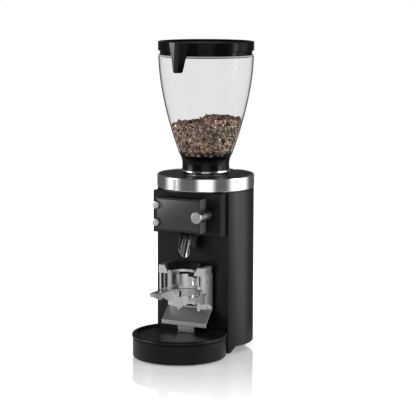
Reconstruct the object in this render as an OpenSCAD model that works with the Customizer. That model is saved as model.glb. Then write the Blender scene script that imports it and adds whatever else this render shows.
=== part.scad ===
// On-demand espresso grinder: a round casing on a round scale base, with a
// clear hopper on top and a portafilter holder in front.
// Front faces -Y. The casing's axis stands at [0, axis_y]; "reach" below is a
// distance in front of that axis.

/* [Body] */
// Radius of the round casing
body_r = 97.2; // [94:0.1:100]
// Reach of the casing's flat front face
body_flat = 54.8; // [50:0.1:58]
// Height of the casing's lower edge above the floor
body_z0 = 14.3; // [12:0.1:18]
// Height of the casing's upper edge
body_z1 = 324.4; // [322:0.1:328]
// Wall of the casing
body_wall = 2.5; // [2:0.1:4]

/* [Adjusting ring] */
// How far the ring stands out over the casing
ring_over = 0.3; // [0:0.1:1.5]
// Height of the ring's outer band
ring_h = 27; // [24:0.1:32]
// Angle of the finger lug, counted to the left of the front
lug_angle = 12.6; // [0:0.1:40]

/* [Hopper] */
// Height of the neck between collar and clear bell
neck_h = 37.5; // [34:0.1:44]
// Height of the clear bell
bell_h = 189.3; // [160:0.1:220]
// Outer radius of the bell at its foot
hopper_r0 = 55.5; // [54:0.1:58]
// Outer radius of the bell at its rim
hopper_r1 = 95.3; // [90:0.1:100]
// Wall of the bell
hopper_wall = 2.2; // [1.5:0.1:3]
// Height of the coffee beans above the bell's start
bean_h = 61.5; // [20:0.5:140]
// Radius of the throat that the gate closes
throat_r = 22; // [18:0.5:24]

/* [Lid] */
// How far the lid stands out over the bell's rim
lid_over = 0.6; // [0:0.1:1.5]
// Height of the lid's upper edge above the bell's rim
lid_h = 29; // [24:0.5:36]
// Angle of the lid's tongue, counted to the left of the front
tongue_angle = 5; // [0:0.5:20]

/* [Base] */
// Height of the rubber feet
foot_h = 2; // [1.5:0.5:4]
// Radius of the round base and tray
tray_r = 94.1; // [90:0.1:98]
// Reach of the tray's centre
tray_reach = 108.4; // [104:0.1:112]
// Height of the base's deck
deck_z = 39; // [36:0.5:42]
// Height of the tray's rim above the deck
tray_h = 9; // [7:0.5:13]

/* [Control housing] */
// Half width of the housing
housing_w = 76; // [70:0.5:77]
// Depth of the housing in front of the casing
housing_d = 24.5; // [22:0.1:28]
// Height of the housing
housing_h = 84.4; // [80:0.1:90]

/* [Display] */
// Left edge of the display frame
display_x0 = -57.2; // [-60:0.1:-52]
// Right edge of the display frame
display_x1 = 43.8; // [40:0.1:48]
// Height of the display frame
display_h = 66.6; // [60:0.1:70]
// Depth of the display frame in front of the housing
display_d = 25.1; // [20:0.1:28]

/* [Knob and buttons] */
// Radius of the knob
knob_r = 11.4; // [9:0.1:12]
// How far the knob stands out in front of the display
knob_out = 27.6; // [16:0.1:32]
// Radius of a button
button_r = 7.6; // [6:0.1:8]
// Distance between the two buttons
button_pitch = 34.9; // [30:0.1:40]
// How far the buttons stand out in front of the display
button_out = 5.6; // [3:0.1:8]

/* [Spout] */
// Outer radius of the spout tube
spout_r = 13.2; // [11:0.1:14]
// Forward lean of the spout tube
spout_tilt = 23.6; // [20:0.1:26]

/* [Portafilter holder] */
// Half width of the bracket
bracket_w = 49.8; // [48:0.1:52]
// Gap between the casing and the bracket's front
bracket_gap = 11.6; // [10:0.1:13]
// Depth of the apron in front of the plate
apron_d = 26.3; // [24:0.1:30]
// Height of the bend between apron and lip, above the tray's rim
lip_up = 18; // [14:0.1:24]
// Height of the apron
apron_h = 25; // [22:0.1:28]
// Height of the fork's upper face above the bend between plate and apron
fork_up = 36; // [32:0.5:36]
// Length of the fork in front of the bracket
fork_d = 73.6; // [68:0.1:78]

/* [Burrs] */
// Radius of the burrs
burr_r = 32.5; // [30:0.5:34]
// Gap between the burrs
burr_gap = 0.8; // [0.7:0.1:1.5]

/* [Hidden] */
$fn = 96;
eps = 0.01;
fit = 0.05;
ring_r = body_r + ring_over;
axis_y = (tray_reach + tray_r - ring_r) / 2;

// Base
cover_z1 = foot_h + 2;
floor_z = [body_z0, body_z0 + 3];
leg_reach = 38;
leg_slope = 12;
base_r = tray_r - 1.4;
base_wall = 3.5;
tray_z1 = deck_z + tray_h;
base_back = body_flat + 0.8;
tray_back = body_flat + 1.2;
tray_z0 = deck_z + 1.6;
tray_edge = 3.5;
tray_floor = tray_z1 - 4;
recess_r = tray_r - 9.1;
recess_back = body_flat + 10.2;
post_w = 17.5;
slot_w = post_w + 3;
slot_lip = 3;
cell_z = [14, 26.7];
foot_r = 9;
front_feet = [for (x = [-56, 56]) [x, -tray_reach - tray_r + 42.5]];
rear_feet = [for (x = [-54, 54]) [x, body_r - 45.2]];
base_screw_places = [for (x = [-70, 70]) [x, -body_flat - 20.2],
    for (x = [-34, 34]) [x, -tray_reach - tray_r + 20.5]];
floor_screw_places = [for (x = [-60, 60]) [x, -body_flat + 16.8]];

// Top of the casing, chamber and ring
plate_z1 = body_z1 + 2;
ring_z0 = plate_z1 + 0.3;
ring_z1 = ring_z0 + ring_h;
web_z = [body_z1 + 13.6, body_z1 + 17.6];
cover_seat = ring_z1 - 3.2;
burr_h = 8;
chamber_r = burr_r + 5.8;
chamber_out = chamber_r + 5.7;
chamber_z = [body_z1 - 38.4, body_z1 + 11.6];
flange_z0 = body_z1 - 5;
carrier_low_z = [chamber_z[0] + 5, chamber_z[0] + 11];
snout_z = [chamber_z[0] + 1, chamber_z[0] + 20];
outlet_w = 11.5;
outlet_z = [chamber_z[0] + 4, chamber_z[0] + 17];
burr_low_z1 = carrier_low_z[1] + burr_h;
burr_up_z0 = burr_low_z1 + burr_gap;
burr_up_z1 = burr_up_z0 + burr_h;
seat_r = chamber_r - 2.3;
ring_groove = [ring_r - 6.5, ring_r - 3.9];
carrier_seat = ring_z1 + 0.5;
collar_z1 = carrier_seat + 8.8;

// Motor
shaft_r = 7.5;
motor_r = body_flat - body_wall - 0.8;
rotor_r = motor_r - 20.5;
motor_z0 = 90;
stator_z = [motor_z0, motor_z0 + 100];
shaft_z = [motor_z0 - 32, carrier_low_z[1] + 6];
end_h = 12;
bearing_r = 16;
bearing_h = 9;
post_r = 3.7;

// Hopper
bell_power = 1.7;
bell_steps = 22;
hopper_z0 = collar_z1 + neck_h;
hopper_z1 = hopper_z0 + bell_h;
bean_z = hopper_z0 + bean_h;
bell_foot_z = hopper_z0 - 9;
bell_foot_r = hopper_r0 - 3.9;
gate_z = [collar_z1 + 8.7, collar_z1 + 11.7];
gate_w = throat_r + 4;
waist_z = [collar_z1, bell_foot_z];
waist_r = [bell_foot_r - 3.9, bell_foot_r - 4.8, bell_foot_r];
lid_r = hopper_r1 + lid_over;
skirt_r = [hopper_r1 - 9.3, hopper_r1 - 4];
tongue_lean = 0.06;

// Control housing
housing_z0 = body_z1 - housing_h;
housing_reach = body_flat + housing_d;
housing_wall = 2;
display_reach = housing_reach + display_d;
display_z0 = housing_z0 + 7.7;
display_z1 = display_z0 + display_h;
stem_r = 3;
stem_back = housing_reach - 7.3;
button_x = display_x0 + 2.6;
button_z = [display_z0 + 16.6, display_z0 + 16.6 + button_pitch];
button_reach = display_reach + button_out;
button_back = button_reach - 11;
switch_reach = stem_back - 4.4;
knob_x = display_x1 + 5.2;
knob_z = display_z0 + 35.3;
knob_reach = display_reach + knob_out;
knob_back = housing_reach + 1.7;
knob_seam = display_reach + 0.6;
glass_z = [display_z0 + 3.6, display_z1 - 3.6];
glass_x = [display_x0 + 3.6, display_x1 - 3.6];

// Spout: a point on the tube's axis, and the lowest point of its slanting mouth
spout_foot = [body_flat + 40, housing_z0 - 35];
spout_tip = [body_flat + 30.2, housing_z0 - 48];
mouth_tilt = 18.7;
chute_r = spout_r + 2.7;
chute_top = 72;
guard_reach = body_flat + 21.2;

// Holder
sheet = 3;
cheek = 3.5;
bracket_reach = body_flat + bracket_gap;
apron_reach = bracket_reach + apron_d;
lip_z = tray_z1 + lip_up;
bend_z = lip_z + apron_h;
fork_z = bend_z + fork_up;
fork_reach = bracket_reach + fork_d;
fork_t = 4;
fork_drop = 12;
plate_z = fork_z + 36;
post_reach = [bracket_reach + 12.1, bracket_reach + 18.1];
slot_reach = post_reach[1] + 8.5;
cell_reach = [post_reach[0] - 2.5, post_reach[0] + 79.5];
cheek_reach = [bracket_reach + 17.6, bracket_reach + 24.6, bracket_reach + 34.6];
cradle_r = 25.3;
cradle_reach = bracket_reach + 17.9;
cradle_wall = 2;
cradle_z1 = plate_z - 6;
window_w = 24;
arm_z = [plate_z, plate_z + 16];
ring_top = plate_z + 5;
guide_reach = bracket_reach + 30.1;
guide_ring = [26.5, 34.3];
guide_cone = [guide_ring[0] - 0.5, guide_ring[0] + 8.5];
gap_r = 35;
gap_reach = bracket_reach + 37.6;
fork_w = bracket_w + 0.2;
shoulder = cheek_reach[1] + 0.3;

// Rear panel
panel_y = body_r - 11.2;
panel_w = 26;
panel_z = [body_z0 + 5.7, body_z0 + 55.7];
rocker_z = (panel_z[0] + panel_z[1]) / 2 - 1;
rocker_x = 14;
socket_x = [-22, -2];
board_y = panel_y - 14;
board_z = [90, 196];

// ---- Shared shapes ----

// Everything is drawn about the casing's axis and moved there at the end
module placed() translate([0, axis_y, 0]) children();

// Extrudes an outline drawn as [-reach, height] from x0 to x1
module along_x(x0, x1) translate([x0, 0, 0]) rotate([90, 0, 90])
    linear_extrude(x1 - x0) children();

// Extrudes an outline drawn as [x, height] backwards from one reach to another
module along_y(reach0, reach1) translate([0, -reach0, 0]) rotate([90, 0, 0])
    linear_extrude(reach1 - reach0) children();

// A round bar from one reach to another at [x, z]
module bar_y(x, z, r, reach0, reach1) translate([x, -reach0, z]) rotate([90, 0, 0])
    cylinder(h = reach1 - reach0, r = r);

// A box given by its two ends along each axis, with y as reach
module block(x, reach, z) translate([x[0], -reach[1], z[0]])
    cube([x[1] - x[0], reach[1] - reach[0], z[1] - z[0]]);

module tube(z, outer, inner) translate([0, 0, z[0]]) difference() {
    cylinder(h = z[1] - z[0], r = outer);
    translate([0, 0, -1]) cylinder(h = z[1] - z[0] + 2, r = inner);
}

// A circle about the casing's axis, cut flat in front
module body_outline(r, flat) intersection() {
    circle(r = r);
    translate([-r, -flat]) square([2 * r, flat + r]);
}

// A circle about the tray's centre, cut flat behind
module tray_outline(r, back) intersection() {
    translate([0, -tray_reach]) circle(r = r);
    translate([-r, -tray_reach - r]) square([2 * r, tray_reach + r - back]);
}

module mirrored() {
    children();
    mirror([1, 0, 0]) children();
}

// The spout's own frame: z runs up along the tube's axis
module on_spout() translate([0, -spout_foot[0], spout_foot[1]])
    rotate([-spout_tilt, 0, 0]) children();

// Outer radius of the clear bell at a height
function bell_r(z) = hopper_r1 - (hopper_r1 - hopper_r0)
    * pow(1 - (z - hopper_z0) / bell_h, bell_power);

// Outer radius of the neck's waist at a height: narrow below, flared above
function waist(z) = let (t = (z - waist_z[0]) / (waist_z[1] - waist_z[0]))
    waist_r[0] + 4 * (waist_r[1] - waist_r[0]) * t * (1 - t)
    + (waist_r[2] - waist_r[0]) * pow(t, 3);

// Reach of the casing's inner wall behind its axis, at a distance to the side
function wall_y(x) = sqrt(pow(body_r - body_wall, 2) - x * x);

function steps(a, b, n) = [for (i = [0 : n]) a + (b - a) * i / n];

// ---- Base ----

module bottom_cover() color("#202022") placed() difference() {
    translate([0, 0, foot_h]) linear_extrude(cover_z1 - foot_h)
        tray_outline(base_r - 1.4, base_back + 1);
    for (p = front_feet) translate([p[0], p[1], foot_h - 1]) cylinder(h = 4, r = 3);
    for (p = base_screw_places) translate([p[0], p[1], foot_h - 1])
        cylinder(h = 4, r = 1.7);
}

module rubber_feet() color("#111111") placed() {
    for (p = front_feet) translate([p[0], p[1], 0]) {
        cylinder(h = foot_h, r = foot_r);
        cylinder(h = cover_z1, r = 2.95);
    }
    for (p = rear_feet) translate([p[0], p[1], 0]) {
        cylinder(h = body_z0, r1 = foot_r + 1, r2 = foot_r + 3);
        cylinder(h = floor_z[1], r = 2.95);
    }
}

// Four through the base's cover and two up into the casing's floor
module base_screws() color("#8a8a8a") placed() {
    for (p = base_screw_places) translate([p[0], p[1], foot_h - 1.2]) {
        cylinder(h = 1.2, r = 3.2);
        translate([0, 0, 1.2 - eps]) cylinder(h = 8, r = 1.6);
    }
    for (p = floor_screw_places) translate([p[0], p[1], body_z0 - 5]) {
        cylinder(h = 2.5, r = 3.5);
        translate([0, 0, 2.5 - eps]) cylinder(h = 8, r = 1.6);
    }
}

module base_casting() color("#1e1e20") placed() difference() {
    union() {
        translate([0, 0, cover_z1]) linear_extrude(deck_z - cover_z1)
            tray_outline(base_r, base_back);
        // Tongue under the casing's floor, screwed to it
        block([-66, 66], [body_flat - 24.8, base_back + 5], [cover_z1, body_z0]);
    }
    // Hollow under the deck, with pillars for the screws
    difference() {
        translate([0, 0, cover_z1 - 1]) linear_extrude(deck_z - 3 - cover_z1 + 1)
            tray_outline(base_r - base_wall, base_back + base_wall);
        for (p = base_screw_places) translate([p[0], p[1], 0])
            cylinder(h = 60, r = 4.5);
    }
    for (p = base_screw_places) translate([p[0], p[1], cover_z1 - 1])
        cylinder(h = 8, r = 1.65);
    for (p = floor_screw_places) translate([p[0], p[1], 0]) {
        cylinder(h = body_z0 + 1, r = 1.7);
        cylinder(h = body_z0 - 2.5, r = 3.6);
    }
    // Hollow of the tongue
    block([-50, 50], [body_flat - 21.8, base_back - 4], [cover_z1 - 1, body_z0 - 3]);
    // Opening for the post of the scale
    block([-post_w - 2, post_w + 2], [post_reach[0] - 4, post_reach[1] + 4],
        [deck_z - 10, deck_z + 1]);
}

module load_cell() color("#b9bcbf") placed() difference() {
    union() {
        block([-8, 8], cell_reach, cell_z);
        // Pad that carries the fixed end
        block([-8, 8], [cell_reach[1] - 22, cell_reach[1]], [cover_z1, cell_z[0] + eps]);
    }
    // The two holes that make the bar flex
    for (reach = [cell_reach[0] + 36, cell_reach[0] + 46])
        translate([-9, -reach, (cell_z[0] + cell_z[1]) / 2]) rotate([0, 90, 0])
            cylinder(h = 18, r = 4.6);
}

module scale_post() color("#c4c6c8") placed() along_x(-post_w, post_w)
    polygon([[-post_reach[0], cell_z[1]], [-post_reach[0], apron_under(post_reach[0])],
        [-post_reach[1], apron_under(post_reach[1])], [-post_reach[1], cell_z[1]]]);

module drip_tray() color("#1a1a1c") placed() difference() {
    union() {
        // Body of the tray, its upper edge rounded
        intersection() {
            translate([0, -tray_reach, 0]) rotate_extrude() polygon(concat(
                [[0, tray_z0], [tray_r - 0.8, tray_z0], [tray_r, tray_z0 + 0.8]],
                [for (a = [0 : 15 : 90]) [tray_r - tray_edge + tray_edge * cos(a),
                    tray_z1 - tray_edge + tray_edge * sin(a)]],
                [[0, tray_z1]]));
            block([-tray_r, tray_r], [tray_back, tray_reach + tray_r], [0, tray_z1 + 1]);
        }
        // Foot that stands on the deck and leaves the dark groove
        translate([0, 0, deck_z]) linear_extrude(tray_z0 - deck_z + eps)
            tray_outline(tray_r - 4, tray_back + 3);
    }
    difference() {
        translate([0, 0, tray_floor]) linear_extrude(tray_z1)
            tray_outline(recess_r, recess_back);
        // Raised lip round the slot
        block([-slot_w - slot_lip, slot_w + slot_lip],
            [recess_back - 1, slot_reach + slot_lip], [tray_floor - 1, tray_floor + 1.6]);
    }
    // Hollow under the floor
    translate([0, 0, deck_z - 1]) linear_extrude(tray_floor - 2 - deck_z + 1)
        tray_outline(recess_r - 2, recess_back + 1);
    // Slot for the post, open to the back
    block([-slot_w, slot_w], [tray_back - 1, slot_reach], [deck_z - 1, tray_z1 + 1]);
}

// ---- Casing ----

module body_floor() color("#2a2a2c") placed() difference() {
    translate([0, 0, floor_z[0]]) linear_extrude(floor_z[1] - floor_z[0])
        body_outline(body_r - body_wall - 0.1, body_flat - body_wall - 0.1);
    for (p = rear_feet) translate([p[0], p[1], floor_z[0] - 1]) cylinder(h = 5, r = 3);
    for (p = floor_screw_places) translate([p[0], p[1], floor_z[0] - 1])
        cylinder(h = 5, r = 1.65);
    // Air intake
    for (x = [-40 : 8 : 40]) block([x - 2, x + 2], [-20, 20], [floor_z[0] - 1, floor_z[1] + 1]);
}

module body_shell() color("#19191b") placed() difference() {
    translate([0, 0, foot_h]) linear_extrude(body_z1 - foot_h)
        body_outline(body_r, body_flat);
    translate([0, 0, foot_h - 1]) linear_extrude(body_z1 - foot_h + 2)
        body_outline(body_r - body_wall, body_flat - body_wall);
    // The lower edge is raised, but for a short leg at each front corner
    along_x(-body_r - 1, body_r + 1) polygon([[-leg_reach - leg_slope, -1],
        [-leg_reach - leg_slope, foot_h], [-leg_reach, body_z0], [body_r + 1, body_z0],
        [body_r + 1, -1]]);
    block([-base_r + 20, base_r - 20], [body_flat - 14.8, body_flat + 1], [0, body_z0]);
    // Opening for the coffee chute
    block([-chute_r - 0.1, chute_r + 0.1], [body_flat - 8, body_flat + 1],
        [snout_z[0] - 3, snout_z[1] + 2]);
    // Opening for the cables to the control housing
    block([30, 50], [body_flat - 8, body_flat + 1], [housing_z0 + 22, housing_z0 + 36]);
    // Opening for the rear panel
    block([-panel_w, panel_w], [-body_r - 1, -panel_y + 6], panel_z);
    // Vents high in the back
    for (i = [0 : 7]) let (z = body_z1 - 118.4 + i * 9)
        block([-34, 34], [-body_r - 1, -panel_y + 6], [z, z + 4]);
}

module rear_panel() color("#2a2a2c") placed() difference() {
    intersection() {
        block([-panel_w - 2.5, panel_w + 2.5], [-body_r, -panel_y + 2],
            [panel_z[0] - 2.5, panel_z[1] + 2.5]);
        cylinder(h = panel_z[1] + 10, r = body_r - body_wall - fit);
    }
    block([-panel_w, panel_w], [-body_r - 1, -panel_y], panel_z);
    block([socket_x[0] - 0.2, socket_x[1] + 0.2], [-body_r, -panel_y + 4],
        [rocker_z - 13.7, rocker_z + 13.7]);
    block([rocker_x - 7.7, rocker_x + 7.7], [-body_r, -panel_y + 4],
        [rocker_z - 11.2, rocker_z + 11.2]);
}

module power_inlet() color("#151515") placed() difference() {
    union() {
        block([socket_x[0] - 2, socket_x[1] - 0.5], [-panel_y - 2.5, -panel_y],
            [rocker_z - 17, rocker_z + 17]);
        block(socket_x, [-panel_y - eps, -panel_y + 18], [rocker_z - 13.5, rocker_z + 13.5]);
    }
    difference() {
        block([socket_x[0] + 2, socket_x[1] - 2], [-panel_y - 3, -panel_y + 14],
            [rocker_z - 11.5, rocker_z + 11.5]);
        // The three flat pins
        for (z = [-7, 0, 7]) block([socket_x[0] + 9, socket_x[1] - 9],
            [-panel_y - 0.5, -panel_y + 15], [rocker_z + z - 2, rocker_z + z + 2]);
    }
}

module switch_frame() color("#151515") placed() difference() {
    union() {
        block([rocker_x - 9.5, rocker_x + 9.5], [-panel_y - 2, -panel_y],
            [rocker_z - 13, rocker_z + 13]);
        block([rocker_x - 7.5, rocker_x + 7.5], [-panel_y - eps, -panel_y + 16],
            [rocker_z - 11, rocker_z + 11]);
    }
    block([rocker_x - 6.3, rocker_x + 6.3], [-panel_y - 3, -panel_y + 13],
        [rocker_z - 9.8, rocker_z + 9.8]);
}

// The rocker is part of a drum about its own axis, so that it turns freely
module switch_rocker() color("#3a0d0d") placed() intersection() {
    translate([rocker_x - 6, panel_y - 3, rocker_z]) rotate([0, 90, 0])
        cylinder(h = 12, r = 9.4);
    along_x(rocker_x - 6, rocker_x + 6) polygon([[panel_y - 11, rocker_z - 9],
        [panel_y + 1.5, rocker_z - 9], [panel_y + 1, rocker_z],
        [panel_y + 5, rocker_z + 9], [panel_y - 11, rocker_z + 9]]);
}

module control_board() color("#1f5c3a") placed() {
    block([-38, 38], [-board_y, -board_y + 1.6], board_z);
    // Pillars to the casing's wall
    for (x = [-32, 32]) for (z = [board_z[0] + 6, board_z[1] - 6])
        bar_y(x, z, 3, -wall_y(35) + 0.4, -board_y + eps);
    // Relay, transformer and terminal block
    for (part = [[-30, -8, 8, 20], [0, 26, 10, 22], [-28, 28, 8, 68]])
        block([part[0], part[1]], [-board_y - part[2], -board_y + eps],
            [board_z[0] + part[3], board_z[0] + part[3] + 12]);
}

module run_capacitor() color("#d8d8d8") placed() rotate([0, 0, 149])
    translate([body_r - 27.2, 0, floor_z[1]]) {
    cylinder(h = 54, r = 16.5);
    translate([0, 0, 54 - eps]) cylinder(h = 3, r = 12);
}

module top_plate() color("#19191b") placed() difference() {
    translate([0, 0, body_z1]) cylinder(h = plate_z1 - body_z1, r = body_r - 0.6);
    translate([0, 0, body_z1 - 1]) cylinder(h = 5, r = chamber_out + 0.2);
}

// ---- Grinding chamber and motor ----

module grind_chamber() color("#a6a8aa") placed() difference() {
    union() {
        translate([0, 0, chamber_z[0]]) cylinder(h = chamber_z[1] - chamber_z[0],
            r = chamber_out);
        translate([0, 0, flange_z0]) cylinder(h = body_z1 - flange_z0, r = motor_r + 0.5);
        // Outlet snout towards the casing's front
        block([-outlet_w - 3.5, outlet_w + 3.5], [30, body_flat - 0.3], snout_z);
    }
    translate([0, 0, chamber_z[0] + 4]) cylinder(h = 60, r = chamber_r);
    translate([0, 0, chamber_z[0] - 1]) cylinder(h = 8, r = shaft_r + fit);
    block([-outlet_w, outlet_w], [25, body_flat + 1], outlet_z);
    // Keyway that keeps the upper carrier from turning
    block([-2.8, 2.8], [-chamber_r - 2.3, -chamber_r + 8],
        [burr_low_z1 + 3, chamber_z[1] + 4]);
}

module motor_stator() color("#7c7f82") placed()
    tube(stator_z, motor_r, rotor_r + 0.7);

module motor_bell(z, bearing_z) difference() {
    translate([0, 0, z]) cylinder(h = end_h, r = motor_r);
    translate([0, 0, bearing_z]) cylinder(h = bearing_h + 0.1, r = bearing_r);
    translate([0, 0, z - 1]) cylinder(h = end_h + 2, r = shaft_r + 3.5);
    // Windows for the cooling air
    for (a = [0 : 60 : 300]) rotate([0, 0, a + 30]) translate([rotor_r, 0, z - 1])
        cylinder(h = end_h + 2, r = 7);
}

module motor_bells() color("#9a9c9e") placed() {
    motor_bell(stator_z[0] - end_h, stator_z[0] - bearing_h);
    motor_bell(stator_z[1], stator_z[1] - 0.1);
}

module motor_posts() color("#b0b2b4") placed() for (a = [45 : 90 : 315])
    rotate([0, 0, a]) translate([motor_r - 3.4, 0, stator_z[1] + end_h])
        cylinder(h = flange_z0 - stator_z[1] - end_h, r = post_r);

module bearings() color("#c9cbcd") placed()
    for (z = [stator_z[0] - bearing_h, stator_z[1]])
        tube([z, z + bearing_h], bearing_r - fit, shaft_r + fit);

module rotor_shaft() color("#b4b6b8") placed() translate([0, 0, shaft_z[0]])
    cylinder(h = shaft_z[1] - shaft_z[0], r = shaft_r);

module rotor_core() color("#6f7274") placed()
    tube([stator_z[0] + 6, stator_z[1] - 6], rotor_r, shaft_r + fit);

module cooling_fan() color("#303032") placed() {
    disc_z = [shaft_z[0] + 3, shaft_z[0] + 5.5];
    tube(disc_z, motor_r - 5.5, shaft_r + fit);
    tube([disc_z[1] - eps, disc_z[1] + 10.5], shaft_r + 5.5, shaft_r + fit);
    for (a = [0 : 30 : 330]) rotate([0, 0, a]) translate([shaft_r + 4.5, -1, disc_z[1] - eps])
        cube([motor_r - shaft_r - 11, 2, 10]);
}

module lower_burr_carrier() color("#9fa1a3") placed() {
    tube(carrier_low_z, chamber_r - 1, shaft_r + fit);
    tube([carrier_low_z[1] - eps, burr_low_z1 - 2.5], burr_r - 16, shaft_r + fit);
    // Two sweepers that carry the coffee to the outlet
    for (a = [45, 225]) rotate([0, 0, a]) translate([burr_r + 0.6, -3, carrier_low_z[1] - eps])
        cube([4.2, 6, 4]);
}

module burr_ring(z, inner) difference() {
    tube([z, z + burr_h], burr_r, inner);
    burr_screw_holes(z - 1, burr_h + 2, 2.2);
}

module burr_screw_holes(z, h, r) for (a = [0 : 120 : 240]) rotate([0, 0, a])
    translate([burr_r - 7, 0, z]) cylinder(h = h, r = r);

module lower_burr() color("#d2d3d4") placed() burr_ring(carrier_low_z[1], burr_r - 15.5);

module lower_burr_screws() color("#55575a") placed()
    burr_screw_holes(carrier_low_z[1] + eps, burr_h - 1.5, 2.15);

module upper_burr() color("#d2d3d4") placed() burr_ring(burr_up_z0, burr_r - 13.5);

module upper_burr_screws() color("#55575a") placed()
    burr_screw_holes(burr_up_z0 + 1.5, burr_h - 1.5 - eps, 2.15);

module upper_burr_carrier() color("#8f9193") placed() {
    rotate_extrude() polygon([[burr_r - 13.5, burr_up_z1],
        [chamber_r - 0.3, burr_up_z1], [chamber_r - 0.3, web_z[0]],
        [chamber_r - 0.5, web_z[0]], [chamber_r - 0.5, carrier_seat],
        [seat_r, carrier_seat], [seat_r, carrier_seat - 4.7],
        [seat_r - 6.5, carrier_seat - 4.7], [burr_r - 13.5, web_z[0] - 8]]);
    // Key that slides in the chamber's keyway
    block([-2.5, 2.5], [-chamber_r - 1.9, -chamber_r + 3.3], [burr_up_z1, web_z[0] - 8]);
}

module adjust_ring() color("#d5d7d9") placed() rotate_extrude() polygon([
    [chamber_r - 0.2, web_z[0]], [chamber_out + fit, web_z[0]],
    [chamber_out + fit, web_z[0] - 10], [chamber_out + 5, web_z[0] - 10],
    [chamber_out + 5, web_z[0]], [ring_groove[0], web_z[0]],
    [ring_groove[0], ring_z0], [ring_r - 1.2, ring_z0], [ring_r, ring_z0 + 1.2],
    [ring_r, ring_z1 - 1.2], [ring_r - 1.2, ring_z1], [ring_groove[1], ring_z1],
    [ring_groove[1], cover_seat], [ring_groove[0], cover_seat], [ring_groove[0], web_z[1]],
    [chamber_r - 0.2, web_z[1]]]);

module ring_lug() color("#e0e2e4") placed() rotate([0, 0, -lug_angle]) difference() {
    block([-4, 4], [ring_r - 7.5, ring_r + 5], [ring_z0 + 2.5, ring_z1 - 1.5]);
    cylinder(h = ring_z1 + 1, r = ring_r + 0.02);
}

module ring_cover() color("#4f4f51") placed()
    tube([cover_seat, ring_z1 - 0.5], ring_groove[1] - 0.2, chamber_out + 2.5);

// ---- Hopper ----

module hopper_collar() color("#dcdee0") placed() rotate_extrude() polygon([
    [seat_r, carrier_seat], [seat_r + 8, carrier_seat], [seat_r + 8.6, carrier_seat + 1.8],
    [seat_r + 13.2, carrier_seat + 4.2], [seat_r + 13.4, carrier_seat + 5.4],
    [seat_r + 12, collar_z1], [seat_r, collar_z1]]);

module hopper_neck() color("#0d0d0e") placed() difference() {
    rotate_extrude() polygon(concat([[seat_r - 6, carrier_seat - 4.2],
        [seat_r - 0.3, carrier_seat - 4.2], [seat_r - 0.3, collar_z1]],
        [for (z = steps(waist_z[0], waist_z[1], 9)) [waist(z), z]],
        [[bell_foot_r - 3, bell_foot_z], [bell_foot_r - 3, bell_foot_z - 5],
        [bell_foot_r - 6, bell_foot_z - 5], [throat_r, gate_z[1] + 2.3],
        [throat_r, gate_z[0] - 5.7], [seat_r - 6, carrier_seat + 3.8]]));
    // Slot for the gate, open to the back
    block([-gate_w - 0.3, gate_w + 0.3], [-bell_foot_r - 8, gate_w - 1],
        [gate_z[0] - 0.3, gate_z[1] + 0.3]);
}

// Thin ring that clamps the bell's foot from inside
module bell_ring() color("#101011") placed()
    tube([hopper_z0 - 4.2, hopper_z0 - 1.2], hopper_r0 - 3.9, hopper_r0 - 6.1);

module hopper_bell() color([0.8, 0.82, 0.84, 0.35]) placed() rotate_extrude() polygon(
    concat([[bell_foot_r - 5.4, bell_foot_z - 5], [bell_foot_r - 3.3, bell_foot_z - 5],
        [bell_foot_r - 3.3, bell_foot_z], [bell_foot_r, bell_foot_z],
        [hopper_r0 - 1.1, hopper_z0 - 4.2]],
    [for (z = steps(hopper_z0, hopper_z1, bell_steps)) [bell_r(z), z]],
    [for (z = steps(hopper_z1, hopper_z0 + 2, bell_steps)) [bell_r(z) - hopper_wall, z]],
    [[hopper_r0 - 3.6, hopper_z0 - 4.2], [bell_foot_r - 5.4, bell_foot_z + 0.2]]));

module gate_slide() color("#141415") placed() {
    block([-gate_w, gate_w], [-waist_r[0] - 0.6, gate_w - 2], gate_z);
    // Grip
    block([-15, 15], [-waist_r[0] - 11, -waist_r[0] - 0.6 + eps],
        [gate_z[0] - 1, gate_z[1] + 1]);
}

module coffee_beans() color("#5b3f2c") placed() rotate_extrude() polygon(
    concat([[0, gate_z[1] + 0.9], [throat_r - 0.8, gate_z[1] + 0.9],
        [throat_r - 0.8, gate_z[1] + 3.5], [bell_foot_r - 6.8, bell_foot_z - 3.5],
        [bell_foot_r - 6.2, bell_foot_z + 0.5], [hopper_r0 - 6.7, hopper_z0 - 5],
        [hopper_r0 - 6.7, hopper_z0 + 1]],
    [for (z = steps(hopper_z0 + 8, bean_z, 8)) [bell_r(z) - hopper_wall - 0.9, z]],
    [[0, bean_z + 5]]));

module lid() color("#0c0c0d") placed() rotate_extrude() polygon(let (z = hopper_z1) [
    [0, z + lid_h - 8], [skirt_r[0] - 2, z + lid_h - 8], [skirt_r[0], z + lid_h - 10],
    [skirt_r[0], z - 1.8], [skirt_r[1], z - 1.8], [skirt_r[1], z + 2.2],
    [skirt_r[1] + 1, z + 2.2], [skirt_r[1] + 1, z + 10.5], [lid_r - 1, z + 10.5],
    [lid_r, z + 11.5], [lid_r, z + lid_h - 1.5], [lid_r - 1.5, z + lid_h],
    [lid_r - 5.9, z + lid_h], [lid_r - 7.4, z + lid_h - 3.5], [0, z + lid_h - 3.5]]);

// Tapered tongue with bevelled sides: its face stands further out at the bottom
module lid_tongue() color("#101011") placed() rotate([0, 0, -tongue_angle])
    difference() {
        hull() {
            along_y(lid_r - 4.9, lid_r - 4.4) tongue_outline(24, 17.5, 10.8);
            multmatrix([[1, 0, 0, 0], [0, 1, tongue_lean, -tongue_lean * hopper_z1],
                [0, 0, 1, 0], [0, 0, 0, 1]]) along_y(lid_r + 7.1, lid_r + 7.6)
                tongue_outline(15.5, 12.4, 8.8);
        }
        cylinder(h = hopper_z1 + lid_h + 10, r = lid_r + 0.05);
    }

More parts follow.
